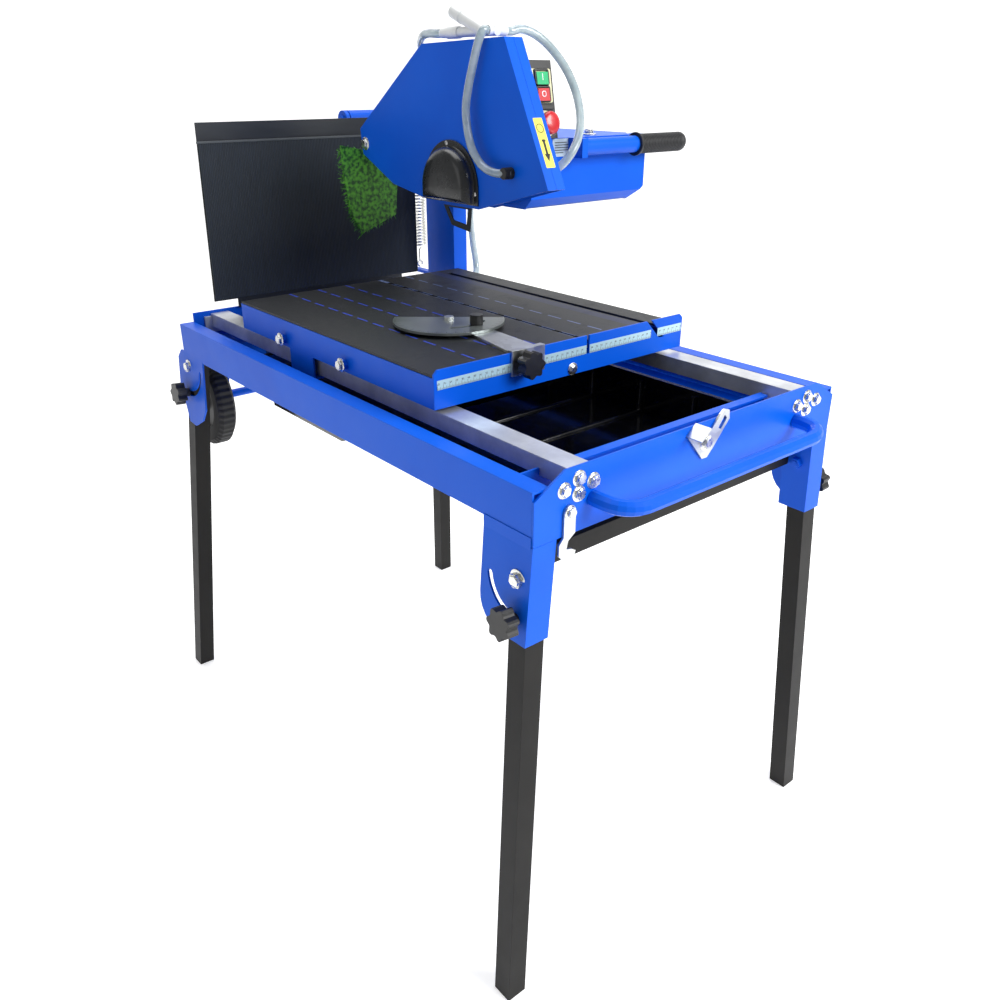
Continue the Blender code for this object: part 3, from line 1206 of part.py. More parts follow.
def build_table(looks):
    slide = anchor("table_axis", (0, 0, TABLE_TOP))
    piece("table_frame", fused(table_frame(), lift_hook()), looks["blue"], slide)
    piece("table_mat", table_mat(), looks["rubber"], slide)
    for side, sign in SIDES.items():
        for end, y in zip(("front", "rear"), ROLLER_Y):
            axle = anchor(f"{end}_{side}_roller_axis", (sign * RAIL_CENTRE, y, ROLLER_Z), slide)
            piece(f"{end}_{side}_roller", roller(sign, y), looks["plastic"], axle)
    guide = anchor("guide_axis", (GUIDE_X, TABLE_FRONT, TABLE_TOP), slide)
    piece("mitre_bracket", mitre_bracket(), looks["zinc"], guide)
    turn = anchor("protractor_axis", (GUIDE_X, GUIDE_Y, TABLE_TOP), guide)
    piece("protractor", protractor(), looks["zinc"], turn)
    piece("guide_knob", guide_knob(), looks["plastic"], anchor("guide_knob_axis", (*GUIDE_KNOB, TABLE_TOP), guide))
    clamp = anchor("clamp_knob_axis", (CLAMP_KNOB[0], TABLE_FRONT, CLAMP_KNOB[1]), guide)
    piece("clamp_knob", clamp_knob(), looks["plastic"], clamp)


def build_catches(looks):
    for name, mesh, bolt in (("lock_bracket", lock_bracket(), LOCK_BOLT), ("hook_latch", hook_latch(), LATCH_BOLT)):
        axis = anchor(f"{name}_axis", (bolt[0], FRAME_FRONT, bolt[1]))
        piece(name, mesh, looks["zinc"], axis)


def build_head(looks):
    blue, black, zinc = looks["blue"], looks["plastic"], looks["zinc"]
    tilt = anchor("tilt_axis", (POST_CENTRE, POST_Y, TILT_Z))
    piece("tilt_yoke", tilt_yoke(), blue, tilt)
    piece("tilt_lever", tilt_lever(), black, anchor("lever_axis", (POST_CENTRE, POST_Y, TILT_Z), tilt))
    head = anchor("head_axis", (POST_CENTRE, *HINGE), tilt)
    piece("head_arm", head_arm(), blue, head)
    piece("belt_cover", belt_cover(), blue, head)
    piece("guard_inner", guard_half(GROOVE_X, GUARD_RIGHT, -1), blue, head)
    piece("guard_cover", guard_cover(), blue, head)
    piece("hub_cover", hub_cover(), black, head)
    piece("motor", motor(), looks["motor"], head)
    piece("handle_grip", handle_grip(), looks["rubber"], head)
    piece("switch_box", switch_box(), black, head)
    piece("water_tee", water_tee(), looks["white"], head)
    piece("hose_left", swept(LEFT_HOSE, HOSE_R, 2, per_span=3), looks["hose"], head)
    piece("hose_right", swept(RIGHT_HOSE, HOSE_R, 2, per_span=3), looks["hose"], head)
    piece("turf_flap", turf_flap(), looks["turf"], head)
    piece("drive_belt", drive_belt(), looks["rubber"], head)
    piece("head_spring", head_spring(), zinc, head)
    turning = anchor("spindle_axis", (GROOVE_X, *SPINDLE), head)
    piece("spindle", spindle(), looks["steel"], turning)
    piece("motor_pulley", motor_pulley(), looks["steel"], anchor("motor_axis", (PULLEY_X, *MOTOR), head))
    valve = anchor("valve_axis", (GROOVE_X, VALVE_START, PIPE_Z), head)
    piece("valve_handle", valve_handle(), looks["white"], valve)
    press = anchor("button_axis", (SWITCH_MIDDLE, SWITCH_FRONT, COVER_TOP), head)
    piece("start_button", push_button(BUTTONS["start"], 0, 6 * MM), looks["green"], press)
    piece("stop_button", push_button(BUTTONS["stop"], 0, 6 * MM), looks["red"], press)
    piece("estop_button", stop_button(), looks["red"], press)


def clear_scene():
    for thing in list(bpy.data.objects):
        bpy.data.objects.remove(thing)


def make_looks():
    return {
        "blue": material("blue paint", (0.0, 0.14, 0.66), 0.35),
        "black": material("black paint", (0.012, 0.012, 0.013), 0.4),
        "rail": material("zinc rail", (0.55, 0.56, 0.58), 0.32, 1.0),
        "zinc": material("zinc plate", (0.5, 0.5, 0.5), 0.4, 1.0),
        "steel": material("turned steel", (0.6, 0.6, 0.6), 0.25, 1.0),
        "plastic": material("black plastic", (0.015, 0.015, 0.016), 0.5),
        "tray": material("black tray", (0.01, 0.01, 0.012), 0.25),
        "panel": material("panel", (0.02, 0.025, 0.04), 0.5),
        "rubber": material("rubber", (0.02, 0.02, 0.022), 0.8),
        "tyre": material("tyre", (0.02, 0.02, 0.02), 0.75),
        "motor": material("motor grey", (0.05, 0.05, 0.055), 0.45),
        "hose": material("clear hose", (0.7, 0.72, 0.7), 0.15),
        "white": material("white plastic", (0.8, 0.8, 0.78), 0.35),
        "red": material("red plastic", (0.55, 0.02, 0.015), 0.35),
        "green": material("green plastic", (0.02, 0.35, 0.08), 0.35),
        "turf": material("turf", (0.04, 0.2, 0.05), 0.9),
    }


clear_scene()
palette = make_looks()
build_frame(palette)
build_legs(palette)
build_table(palette)
build_catches(palette)
build_head(palette)
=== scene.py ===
# %% [markdown]
# # Stone table saw, visual scene
#
# The imported model is loaded as a fixed frame, in metres, with +Z up, -Y towards the operator and
# +X to the operator's right. Every cell after that adds looks and detail to it, and the last cell
# lights it. Pieces that only stand on a body ride on it; the supply hose and the spring stand in
# place, on no body.

# %% Load the frame
import json
import random
from math import cos, pi, radians, sin, tan

import bmesh
import bpy
from mathutils import Matrix, Vector

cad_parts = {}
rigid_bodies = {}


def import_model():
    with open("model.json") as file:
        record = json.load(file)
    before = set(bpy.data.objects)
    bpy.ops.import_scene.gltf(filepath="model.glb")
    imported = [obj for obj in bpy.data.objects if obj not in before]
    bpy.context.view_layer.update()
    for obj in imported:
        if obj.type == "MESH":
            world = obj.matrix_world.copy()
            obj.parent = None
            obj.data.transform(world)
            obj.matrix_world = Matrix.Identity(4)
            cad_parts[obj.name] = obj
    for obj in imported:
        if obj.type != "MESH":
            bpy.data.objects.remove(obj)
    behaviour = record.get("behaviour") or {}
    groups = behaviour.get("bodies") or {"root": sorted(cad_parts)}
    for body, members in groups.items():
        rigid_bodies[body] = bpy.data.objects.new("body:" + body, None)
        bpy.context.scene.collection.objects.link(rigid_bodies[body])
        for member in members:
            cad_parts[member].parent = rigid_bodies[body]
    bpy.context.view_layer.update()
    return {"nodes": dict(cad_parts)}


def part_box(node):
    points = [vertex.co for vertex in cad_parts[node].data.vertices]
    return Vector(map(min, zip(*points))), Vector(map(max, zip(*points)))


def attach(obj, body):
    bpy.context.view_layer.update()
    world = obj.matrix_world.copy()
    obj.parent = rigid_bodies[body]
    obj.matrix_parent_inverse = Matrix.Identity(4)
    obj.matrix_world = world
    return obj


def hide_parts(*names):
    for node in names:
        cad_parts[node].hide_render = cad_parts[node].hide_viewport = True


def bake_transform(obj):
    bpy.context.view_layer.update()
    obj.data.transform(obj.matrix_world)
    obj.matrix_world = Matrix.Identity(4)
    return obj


for thing in list(bpy.data.objects):
    bpy.data.objects.remove(thing)
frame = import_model()
MM = 0.001
LIP_LOW, LIP_HIGH = 800.0 * MM, 813.0 * MM
MAT_LEVEL = 819.5 * MM
AXLE_Y, AXLE_Z = 0.505, 0.590
BRACKET_TOP = 0.9795
STOP_Z, START_KEY_Z, STOP_KEY_Z = 1.105, 1.1672, 1.1448
random.seed(7)

# %% Camera
lens = bpy.data.cameras.new("camera")
lens.sensor_width = 36
lens.lens = 32.58
lens.shift_x = -0.0017
camera = bpy.data.objects.new("camera", lens)
camera.location = (-0.8960, -1.1759, 1.1678)
camera.rotation_euler = (radians(90 - 25.06), radians(-0.11), radians(-39.99))
bpy.context.collection.objects.link(camera)
bpy.context.scene.camera = camera
print("camera placed")


# %% [markdown]
# ## Shader arithmetic
#
# A `Sock` is an output socket that can be added, multiplied and compared, so that the materials
# below read as formulas. A `Look` is one material being built.

# %% Shader helpers
class Sock:
    def __init__(self, tree, socket):
        self.tree = tree
        self.socket = socket

    def math(self, operation, *others, clamp=False):
        node = self.tree.nodes.new("ShaderNodeMath")
        node.operation = operation
        node.use_clamp = clamp
        for slot, value in zip(node.inputs, (self, *others)):
            feed(self.tree, slot, value)
        return Sock(self.tree, node.outputs[0])

    def __add__(self, other):
        return self.math("ADD", other)

    def __sub__(self, other):
        return self.math("SUBTRACT", other)

    def __rsub__(self, other):
        return (self * -1) + other

    def __mul__(self, other):
        return self.math("MULTIPLY", other)

    def __truediv__(self, other):
        return self.math("DIVIDE", other)

    def __gt__(self, other):
        return self.math("GREATER_THAN", other)

    def __lt__(self, other):
        return self.math("LESS_THAN", other)

    def step(self, low, high):
        """0 below low, 1 above high, and smooth between them."""
        node = self.tree.nodes.new("ShaderNodeMapRange")
        node.interpolation_type = "SMOOTHSTEP"
        for slot, value in zip(node.inputs, (self, low, high, 0.0, 1.0)):
            feed(self.tree, slot, value)
        return Sock(self.tree, node.outputs[0])

    __radd__ = __add__
    __rmul__ = __mul__


def feed(tree, slot, value):
    if isinstance(value, Sock):
        tree.links.new(value.socket, slot)
    elif isinstance(value, (tuple, list)) and len(value) == 3 and slot.type == "RGBA":
        slot.default_value = (*value, 1)
    else:
        slot.default_value = value


class Look:
    def __init__(self, name, **settings):
        self.material = bpy.data.materials.new(name)
        self.material.use_nodes = True
        self.tree = self.material.node_tree
        self.shader = self.tree.nodes["Principled BSDF"]
        coords = self.tree.nodes.new("ShaderNodeTexCoord")
        self.place = Sock(self.tree, coords.outputs["Object"])
        split = self.tree.nodes.new("ShaderNodeSeparateXYZ")
        self.tree.links.new(coords.outputs["Object"], split.inputs[0])
        self.x, self.y, self.z = (Sock(self.tree, out) for out in split.outputs)
        self.set(**settings)

    def set(self, **settings):
        for name, value in settings.items():
            feed(self.tree, self.shader.inputs[name.replace("_", " ")], value)
        return self

    def node(self, kind, output=0, inputs=None, **settings):
        made = self.tree.nodes.new(kind)
        for name, value in settings.items():
            setattr(made, name, value)
        for name, value in (inputs or {}).items():
            feed(self.tree, made.inputs[name], value)
        return Sock(self.tree, made.outputs[output])

    def noise(self, scale, detail=3.0, rough=0.5, where=None):
        return self.node("ShaderNodeTexNoise", 0, {"Vector": where or self.place, "Scale": scale,
                                                   "Detail": detail, "Roughness": rough})

    def stretched(self, x, y, z):
        return self.node("ShaderNodeMapping", 0, {"Vector": self.place, "Scale": (x, y, z)})

    def mix(self, share, first, second):
        made = self.tree.nodes.new("ShaderNodeMix")
        made.data_type = "RGBA"
        for slot, value in ((0, share), (6, first), (7, second)):
            feed(self.tree, made.inputs[slot], value)
        return Sock(self.tree, made.outputs[2])

    def bevel(self, radius):
        return self.node("ShaderNodeBevel", 0, {"Radius": radius}, samples=3)

    def bump(self, height, strength, distance, normal=None):
        inputs = {"Height": height, "Strength": strength, "Distance": distance}
        if normal:
            inputs["Normal"] = normal
        return self.node("ShaderNodeBump", 0, inputs)

    def edges(self, rounded):
        """1 along sharp edges and 0 on faces, from how far the rounded normal turns."""
        flat = self.node("ShaderNodeNewGeometry", 1)
        dot = self.node("ShaderNodeVectorMath", 1, {0: rounded, 1: flat}, operation="DOT_PRODUCT")
        return (1.0 - dot).step(0.01, 0.12)


print("shader helpers ready")


# %% [markdown]
# ## Materials
#
# Each one carries what the real finish shows: the powder coat's orange peel and chipped edges under a
# painted edge highlight, the spangle of the zinc, the grain of moulded plastic, the ribs of the rubber.

# %% Painted metal
def paint(name, colour, light, rough, coat, peel=0.12):
    look = Look(name)
    rounded = look.bevel(0.9 * MM)
    edge = look.edges(rounded)
    cloud = look.noise(5.0, 4.0)
    chips = look.noise(260.0, 4.0, 0.7).step(0.55, 0.75)
    tone = look.mix(cloud.step(0.35, 0.7) * 0.25, colour, light)
    # Sharp edges take the lighter colour: a painted highlight along every edge, plus chipped wear where
    # the chip noise is high.
    tone = look.mix(edge * (chips * 0.4 + 0.25), tone, light)
    peel_height = look.noise(420.0, 2.0) + look.noise(1500.0, 1.0) * 0.25
    look.set(Base_Color=tone, Roughness=look.noise(30.0) * 0.12 + rough, Coat_Weight=coat,
             Coat_Roughness=0.16, Specular_IOR_Level=0.16,
             Normal=look.bump(peel_height, peel, 0.4 * MM, rounded))
    return look.material


# Colour, lighter colour for random tone and the painted edge highlight, roughness and coat weight.
BLUE_COAT = (0.0, 0.088, 0.62), (0.0, 0.15, 0.85), 0.34, 0.03


def part_painted(low):
    """The blue coat above a height, and dark bare steel on the bracket below it."""
    made = paint("blue guard with dark bracket", *BLUE_COAT)
    tree = made.node_tree
    shader = tree.nodes["Principled BSDF"]
    coords = Sock(tree, tree.nodes["Texture Coordinate"].outputs["Object"])
    split = tree.nodes.new("ShaderNodeSeparateXYZ")
    feed(tree, split.inputs[0], coords)
    upper = Sock(tree, split.outputs[2]) > low
    mix = tree.nodes.new("ShaderNodeMix")
    mix.data_type = "RGBA"
    feed(tree, mix.inputs[0], upper)
    mix.inputs[6].default_value = (0.022, 0.028, 0.034, 1)
    tree.links.new(shader.inputs["Base Color"].links[0].from_socket, mix.inputs[7])
    tree.links.new(mix.outputs[2], shader.inputs["Base Color"])
    return made


GUARD = part_painted(BRACKET_TOP)
BLUE = paint("blue powder coat", *BLUE_COAT)
BLACK = paint("black powder coat", (0.0065, 0.006, 0.0055), (0.024, 0.022, 0.02), 0.42, 0.04)
MOTOR = paint("motor enamel", (0.016, 0.017, 0.02), (0.05, 0.05, 0.055), 0.42, 0.1)
print("paints ready")


# %% Bare and plated metal
def zinc(name, base, cells, rough):
    look = Look(name, Metallic=1.0)
    rounded = look.bevel(0.5 * MM)
    spangle = look.node("ShaderNodeTexVoronoi", 1, {"Vector": look.place, "Scale": cells})
    tone = look.node("ShaderNodeRGBToBW", 0, {"Color": spangle})
    smear = look.noise(40.0, 5.0, 0.6)
    light = tuple(min(1.0, v * 1.3) for v in base)
    dark = tuple(v * 0.72 for v in base)
    look.set(Base_Color=look.mix(tone * 0.6 + smear * 0.4, dark, light),
             Roughness=tone * 0.14 + smear * 0.12 + rough,
             Normal=look.bump(smear, 0.08, 0.5 * MM, rounded))
    return look.material


def rail_metal():
    look = Look("zinc rail", Metallic=0.7)
    rounded = look.bevel(1.4 * MM)
    drawn = look.noise(60.0, 4.0, 0.6, look.stretched(14, 0.25, 14))
    smear = look.noise(14.0, 5.0, 0.6)
    look.set(Base_Color=look.mix(smear.step(0.3, 0.75), (0.5, 0.52, 0.55), (0.74, 0.76, 0.79)),
             Roughness=drawn * 0.16 + 0.3, Normal=look.bump(drawn, 0.12, 0.3 * MM, rounded))
    return look.material


def turned_steel():
    look = Look("turned steel", Metallic=1.0)
    rings = look.noise(900.0, 2.0, 0.5, look.stretched(1, 0.02, 0.02))
    look.set(Base_Color=look.mix(rings, (0.42, 0.42, 0.43), (0.66, 0.66, 0.66)), Roughness=0.28,
             Normal=look.bump(rings, 0.15, 0.2 * MM, look.bevel(0.4 * MM)))
    return look.material


ZINC = zinc("galvanised sheet", (0.58, 0.6, 0.6), 85.0, 0.22)
BOLT = zinc("plated fastener", (0.7, 0.7, 0.66), 300.0, 0.14)
RAIL = rail_metal()
STEEL = turned_steel()
print("metals ready")


# %% Plastic and rubber
def moulded(name, colour, rough, grain=700.0, strength=0.2, coat=0.0):
    look = Look(name)
    rounded = look.bevel(0.7 * MM)
    scuff = look.noise(35.0, 5.0, 0.65).step(0.45, 0.8)
    light = tuple(min(1.0, v * 1.5 + 0.012) for v in colour)
    look.set(Base_Color=look.mix(scuff * 0.35, colour, light), Roughness=scuff * 0.12 + rough,
             Coat_Weight=coat, Coat_Roughness=0.08,
             Normal=look.bump(look.noise(grain, 2.0), strength, 0.15 * MM, rounded))
    return look.material


def rib_rubber():
    """Rubber sheet with fine upright ribs and a faint waviness."""
    look = Look("ribbed rubber")
    warp = look.noise(9.0, 2.0) * 0.004
    ribs = ((look.x + warp) * (2 * pi / 0.0032)).math("SINE")
    broken = look.noise(55.0, 3.0, 0.6, look.stretched(3, 1, 0.35))
    shade = ribs * 0.3 + broken * 0.6
    look.set(Base_Color=look.mix(shade, (0.002, 0.005, 0.01), (0.016, 0.03, 0.05)),
             Roughness=broken * 0.2 + 0.48,
             Normal=look.bump(ribs + broken * 1.5, 0.55, 0.5 * MM))
    return look.material


def board():
    look = Look("splash board")
    soft = look.noise(16.0, 4.0, 0.6, look.stretched(0.4, 1, 3))
    look.set(Base_Color=look.mix(soft, (0.002, 0.0035, 0.006), (0.009, 0.014, 0.022)),
             Roughness=soft * 0.2 + 0.28,
             Normal=look.bump(look.noise(300.0), 0.1, 0.3 * MM, look.bevel(0.8 * MM)))
    return look.material


def mat_rubber():
    """Matt table rubber with fine grain, dust and a faint blue reflection of the frame."""
    look = Look("table mat")
    grain = look.noise(1100.0, 3.0, 0.7)
    dust = look.noise(22.0, 6.0, 0.7).step(0.5, 0.9)
    dashes = None
    for row, reach in ((-154, 1.7), (-97, 1.7), (-40, 1.7), (34, 3.8), (92, 1.7)):
        near = ((look.x - row * MM).math("ABSOLUTE")) < reach * MM
        line = near * (((look.y + 1) / 0.045).math("FRACT") < 0.66)
        dashes = line if dashes is None else dashes.math("MAXIMUM", line)
    level = look.z > MAT_LEVEL
    dashes = dashes * level
    base = look.mix(dust * 0.5, (0.0015, 0.003, 0.005), (0.007, 0.011, 0.016))
    # Painted reflection: a faint blue band of the frame's colour across the top face of the mat.
    painted_reflection_band = (look.x > 146 * MM) * (look.x < 166 * MM) * level
    base = look.mix(painted_reflection_band * 0.7, base, (0.0, 0.008, 0.07))
    tint = look.mix(look.x > 20 * MM, (0.005, 0.035, 0.4), (0.1, 0.15, 0.32))
    look.set(Base_Color=look.mix(dashes, base, tint), Roughness=dust * 0.2 + 0.5,
             Normal=look.bump(grain + dashes * 4.0, 0.35, 0.25 * MM, look.bevel(0.5 * MM)))
    return look.material


def tyre_look():
    """Tread outside, smoother wall inside, told apart by the distance from the axle."""
    look = Look("wheel")
    along, up = look.y - AXLE_Y, look.z - AXLE_Z
    reach = (along * along + up * up).math("SQRT")
    turn = up.math("ARCTAN2", along)
    tread = (turn * 44.0).math("SINE") * reach.step(0.08, 0.086)
    rim = reach < 0.055
    look.set(Base_Color=look.mix(rim, (0.012, 0.012, 0.013), (0.035, 0.035, 0.037)),
             Roughness=rim * -0.25 + 0.75,
             Normal=look.bump(tread, 0.8, 1.2 * MM, look.bevel(0.8 * MM)))
    return look.material


PLASTIC = moulded("black plastic", (0.009, 0.0092, 0.0095), 0.36)
SATIN = moulded("satin hub cover", (0.006, 0.0075, 0.009), 0.27, 260.0, 0.05, 0.3)
TRAY = moulded("glossy tray", (0.0018, 0.002, 0.003), 0.13, 120.0, 0.06, 0.6)
WHITE = moulded("white plastic", (0.74, 0.76, 0.76), 0.3, 400.0, 0.08, 0.3)
RED = moulded("red plastic", (0.52, 0.012, 0.018), 0.28, 400.0, 0.08, 0.4)
GREEN = moulded("green plastic", (0.0, 0.4, 0.14), 0.25, 400.0, 0.08, 0.4)
CREAM = moulded("pale plastic", (0.66, 0.64, 0.4), 0.4, 400.0, 0.06, 0.2)
RUBBER = moulded("grip rubber", (0.008, 0.0085, 0.01), 0.5, 900.0, 0.4)
RIBBED = rib_rubber()
EDGE = moulded("rubber edge", (0.05, 0.06, 0.07), 0.45, 500.0, 0.2)
BOARD = board()
MAT = mat_rubber()
TYRE = tyre_look()
print("plastics ready")


# %% Clear hose, turf and labels
def hose_look():
    look = Look("clear hose", IOR=1.3, Transmission_Weight=0.5)
    cloud = look.noise(60.0, 3.0)
    look.set(Base_Color=look.mix(cloud, (0.3, 0.4, 0.44), (0.72, 0.82, 0.84)),
             Roughness=cloud * 0.1 + 0.03, Coat_Weight=0.9, Coat_Roughness=0.05,
             Normal=look.bump(look.noise(160.0), 0.08, 0.4 * MM))
    return look.material


def turf_look():
    look = Look("turf blades")
    vary = look.noise(150.0, 3.0)
    shade = vary.step(0.35, 0.65)
    look.set(Base_Color=look.mix(shade, (0.006, 0.075, 0.004), (0.11, 0.46, 0.03)),
             Roughness=vary * 0.2 + 0.42, Normal=look.bump(vary, 0.1, 0.2 * MM))
    return look.material


def scale_look():
    """Pale steel tape with millimetre, five and ten millimetre marks."""
    look = Look("scale tape", Metallic=0.35, Roughness=0.35)
    low = LIP_LOW
    marks = None
    for pitch, reach, width in ((1.0, 2.6, 0.3), (5.0, 4.2, 0.4), (10.0, 6.0, 0.5)):
        phase = (look.x * (1000.0 / pitch)).math("FRACT")
        line = (phase < width / pitch) * (look.z < low + reach * MM)
        marks = line if marks is None else marks.math("MAXIMUM", line)
    tens = (look.x * 100.0).math("FRACT")
    digits = ((look.noise(1300.0, 1.0) > 0.52) * (tens < 0.42)
              * (look.z > low + 6.6 * MM) * (look.z < low + 9.2 * MM))
    dark = marks.math("MAXIMUM", digits)
    look.set(Base_Color=look.mix(dark, (0.5, 0.72, 0.78), (0.02, 0.03, 0.04)),
             Normal=look.bump(look.noise(500.0), 0.05, 0.2 * MM))
    return look.material


def guide_look(centre, radius):
    """Galvanised plate with degree marks along its curved edge."""
    look = Look("protractor plate", Metallic=0.75)
    along, up = look.x - centre[0], look.y - centre[1]
    reach = (along * along + up * up).math("SQRT")
    turn = up.math("ARCTAN2", along) * (180 / pi)
    fine = ((turn / 2.0).math("FRACT") < 0.22) * (reach > radius - 5.5 * MM)
    coarse = ((turn / 10.0).math("FRACT") < 0.07) * (reach > radius - 10 * MM)
    marks = fine.math("MAXIMUM", coarse) * (reach < radius - 1.2 * MM)
    smear = look.noise(30.0, 5.0, 0.6)
    sheet = look.mix(smear, (0.13, 0.15, 0.15), (0.32, 0.35, 0.34))
    look.set(Base_Color=look.mix(marks, sheet, (0.03, 0.03, 0.03)), Roughness=smear * 0.2 + 0.24,
             Normal=look.bump(smear, 0.06, 0.4 * MM, look.bevel(0.6 * MM)))
    return look.material


def flat_print(name, colour, ink):
    look = Look(name)
    wear = look.noise(120.0, 4.0).step(0.5, 0.8)
    look.set(Base_Color=look.mix(wear * 0.2, colour, ink), Roughness=wear * 0.1 + 0.3,
             Normal=look.bump(wear, 0.04, 0.2 * MM))
    return look.material


GUIDE_CENTRE = (-0.069, -0.064)
GUIDE_RADIUS = 0.086
HOSE = hose_look()
TURF = turf_look()
SCALE = scale_look()
GUIDE = guide_look(GUIDE_CENTRE, GUIDE_RADIUS)
YELLOW = flat_print("yellow label", (0.83, 0.75, 0.12), (0.6, 0.5, 0.05))
SILVER = flat_print("silver plate", (0.55, 0.66, 0.72), (0.2, 0.25, 0.3))
INK = flat_print("black ink", (0.01, 0.01, 0.01), (0.04, 0.04, 0.04))
PALE = flat_print("white ink", (0.8, 0.8, 0.8), (0.6, 0.6, 0.6))
print("labels, hose and turf ready")

# %% Finish of each CAD piece
FINISH = {
    "front_tie": BLACK, "rear_tie": BLACK, "left_rail": RAIL, "right_rail": RAIL, "water_tray": TRAY,
    "splash_panel": BOARD, "splash_rubber": RIBBED, "table_mat": MAT, "mitre_bracket": ZINC,
    "protractor": GUIDE, "lock_bracket": ZINC, "hook_latch": ZINC, "tilt_lever": PLASTIC,
    "hub_cover": SATIN, "motor": MOTOR, "switch_box": PLASTIC, "water_tee": WHITE,
    "valve_handle": WHITE, "guard_cover": GUARD, "drive_belt": RUBBER, "spindle": STEEL,
    "motor_pulley": STEEL,
    "start_button": GREEN, "stop_button": RED, "left_wheel": TYRE, "right_wheel": TYRE,
}
for name, node in frame["nodes"].items():
    if name.endswith("_leg"):
        finish = BLACK
    elif name.endswith(("_roller", "_knob")):
        finish = PLASTIC
    else:
        finish = FINISH.get(name, BLUE)
    for slot in node.material_slots:
        slot.material = finish
print("finished", len(frame["nodes"]), "CAD pieces")


# %% [markdown]
# ## Mesh builders
#
# Every builder returns a mesh in the frame's own coordinates.

# %% Lathe, tube, plate and hexagon
def axis_matrix(origin, direction, up=(0, 0, 1)):
    """Turns local Z to a direction and moves the origin."""
    z = Vector(direction).normalized()
    side = Vector(up).cross(z)
    if side.length < 1e-4:
        side = Vector((1, 0, 0)).cross(z)
    side.normalize()
    rows = Matrix((side, z.cross(side), z)).transposed()
    return Matrix.Translation(Vector(origin)) @ rows.to_4x4()


def mesh_of(verts, faces, matrix=None):
    mesh = bpy.data.meshes.new("detail")
    mesh.from_pydata(verts, [], faces)
    work = bmesh.new()
    work.from_mesh(mesh)
    bmesh.ops.remove_doubles(work, verts=work.verts, dist=1e-6)
    bmesh.ops.recalc_face_normals(work, faces=work.faces)
    work.to_mesh(mesh)
    work.free()
    if matrix:
        mesh.transform(matrix)
    return mesh


def circle(radius, level, sides):
    return [(radius * cos(2 * pi * i / sides), radius * sin(2 * pi * i / sides), level)
            for i in range(sides)]


def lathe(profile, origin, direction, sides=32):
    """A turned solid: profile is (distance along the axis, radius), closed on the axis."""
    verts, faces = [], []
    for along, radius in profile:
        verts += circle(radius, along, sides)
    for ring in range(len(profile) - 1):
        for i in range(sides):
            j = (i + 1) % sides
            a, b = ring * sides, (ring + 1) * sides
            faces.append((a + i, a + j, b + j, b + i))
    faces.append(tuple(range(sides)))
    faces.append(tuple(range(len(verts) - sides, len(verts))))
    return mesh_of(verts, faces, axis_matrix(origin, direction))


def tube(points, radius, sides=16):
    """A round tube along points, with closed ends and an untwisted section."""
    spots = [Vector(p) for p in points]
    heads = [(b - a).normalized() for a, b in zip(spots, spots[1:])]
    heads = [heads[0]] + [(a + b).normalized() for a, b in zip(heads, heads[1:])] + [heads[-1]]
    side = heads[0].orthogonal().normalized()
    verts, faces = [], []
    for spot, head in zip(spots, heads):
        side = (side - head * side.dot(head)).normalized()
        other = head.cross(side)
        verts += [spot + (side * cos(2 * pi * i / sides) + other * sin(2 * pi * i / sides)) * radius
                  for i in range(sides)]
    for ring in range(len(spots) - 1):
        for i in range(sides):
            j = (i + 1) % sides
            a, b = ring * sides, (ring + 1) * sides
            faces.append((a + i, a + j, b + j, b + i))
    faces.append(tuple(range(sides)))
    faces.append(tuple(range(len(verts) - sides, len(verts))))
    return mesh_of(verts, faces)


def smooth(points, per_span=6):
    """Points of a Catmull-Rom curve through the given ones."""
    spots = [Vector(p) for p in points]
    spots = [2 * spots[0] - spots[1], *spots, 2 * spots[-1] - spots[-2]]
    path = []
    for a, b, c, d in zip(spots, spots[1:], spots[2:], spots[3:]):
        for step in range(per_span):
            t = step / per_span
            path.append(0.5 * (2 * b + (c - a) * t + (2 * a - 5 * b + 4 * c - d) * t * t
                               + (3 * b - a - 3 * c + d) * t ** 3))
    path.append(spots[-2])
    return path


def plate(outline, depth, origin, direction, up=(0, 0, 1)):
    """A flat plate: outline in its own plane, standing depth off its origin along direction."""
    count = len(outline)
    verts = [(a, b, 0) for a, b in outline] + [(a, b, depth) for a, b in outline]
    faces = [tuple(range(count)), tuple(range(count, 2 * count))]
    faces += [(i, (i + 1) % count, count + (i + 1) % count, count + i) for i in range(count)]
    return mesh_of(verts, faces, axis_matrix(origin, direction, up))


def rounded_box(low, high, radius, segments=3):
    """A box with rounded edges, between two corners."""
    work = bmesh.new()
    bmesh.ops.create_cube(work, size=1)
    size = [h - l for l, h in zip(low, high)]
    for vert in work.verts:
        vert.co = Vector([l + (c + 0.5) * s for l, c, s in zip(low, vert.co, size)])
    bmesh.ops.bevel(work, geom=list(work.edges), offset=radius, segments=segments, affect="EDGES")
    mesh = bpy.data.meshes.new("detail")
    work.to_mesh(mesh)
    work.free()
    return mesh


def joined(*meshes):
    work = bmesh.new()
    for mesh in meshes:
        work.from_mesh(mesh)
    mesh = bpy.data.meshes.new("detail")
    work.to_mesh(mesh)
    work.free()
    return mesh


def add(name, mesh, finish, body, slot, *stands_for):
    mesh.materials.clear()
    mesh.materials.append(finish)
    mesh.shade_smooth()
    mesh.set_sharp_from_angle(angle=radians(38))
    made = bpy.data.objects.new(name, mesh)
    bpy.context.collection.objects.link(made)
    if body:
        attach(made, body)
    if stands_for:
        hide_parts(*stands_for)
    return made


print("mesh builders ready")


# %% [markdown]
# ## Hoses
#
# Two short hoses feed the guard from the tee and move with the head. The supply hose comes out of
# the tray, loops over the frame behind the rail and climbs past the post; it is made in two
# lengths that meet beside the tilt shaft.

# %% Hoses
def mm(*spots):
    return [tuple(value * MM for value in spot) for spot in spots]


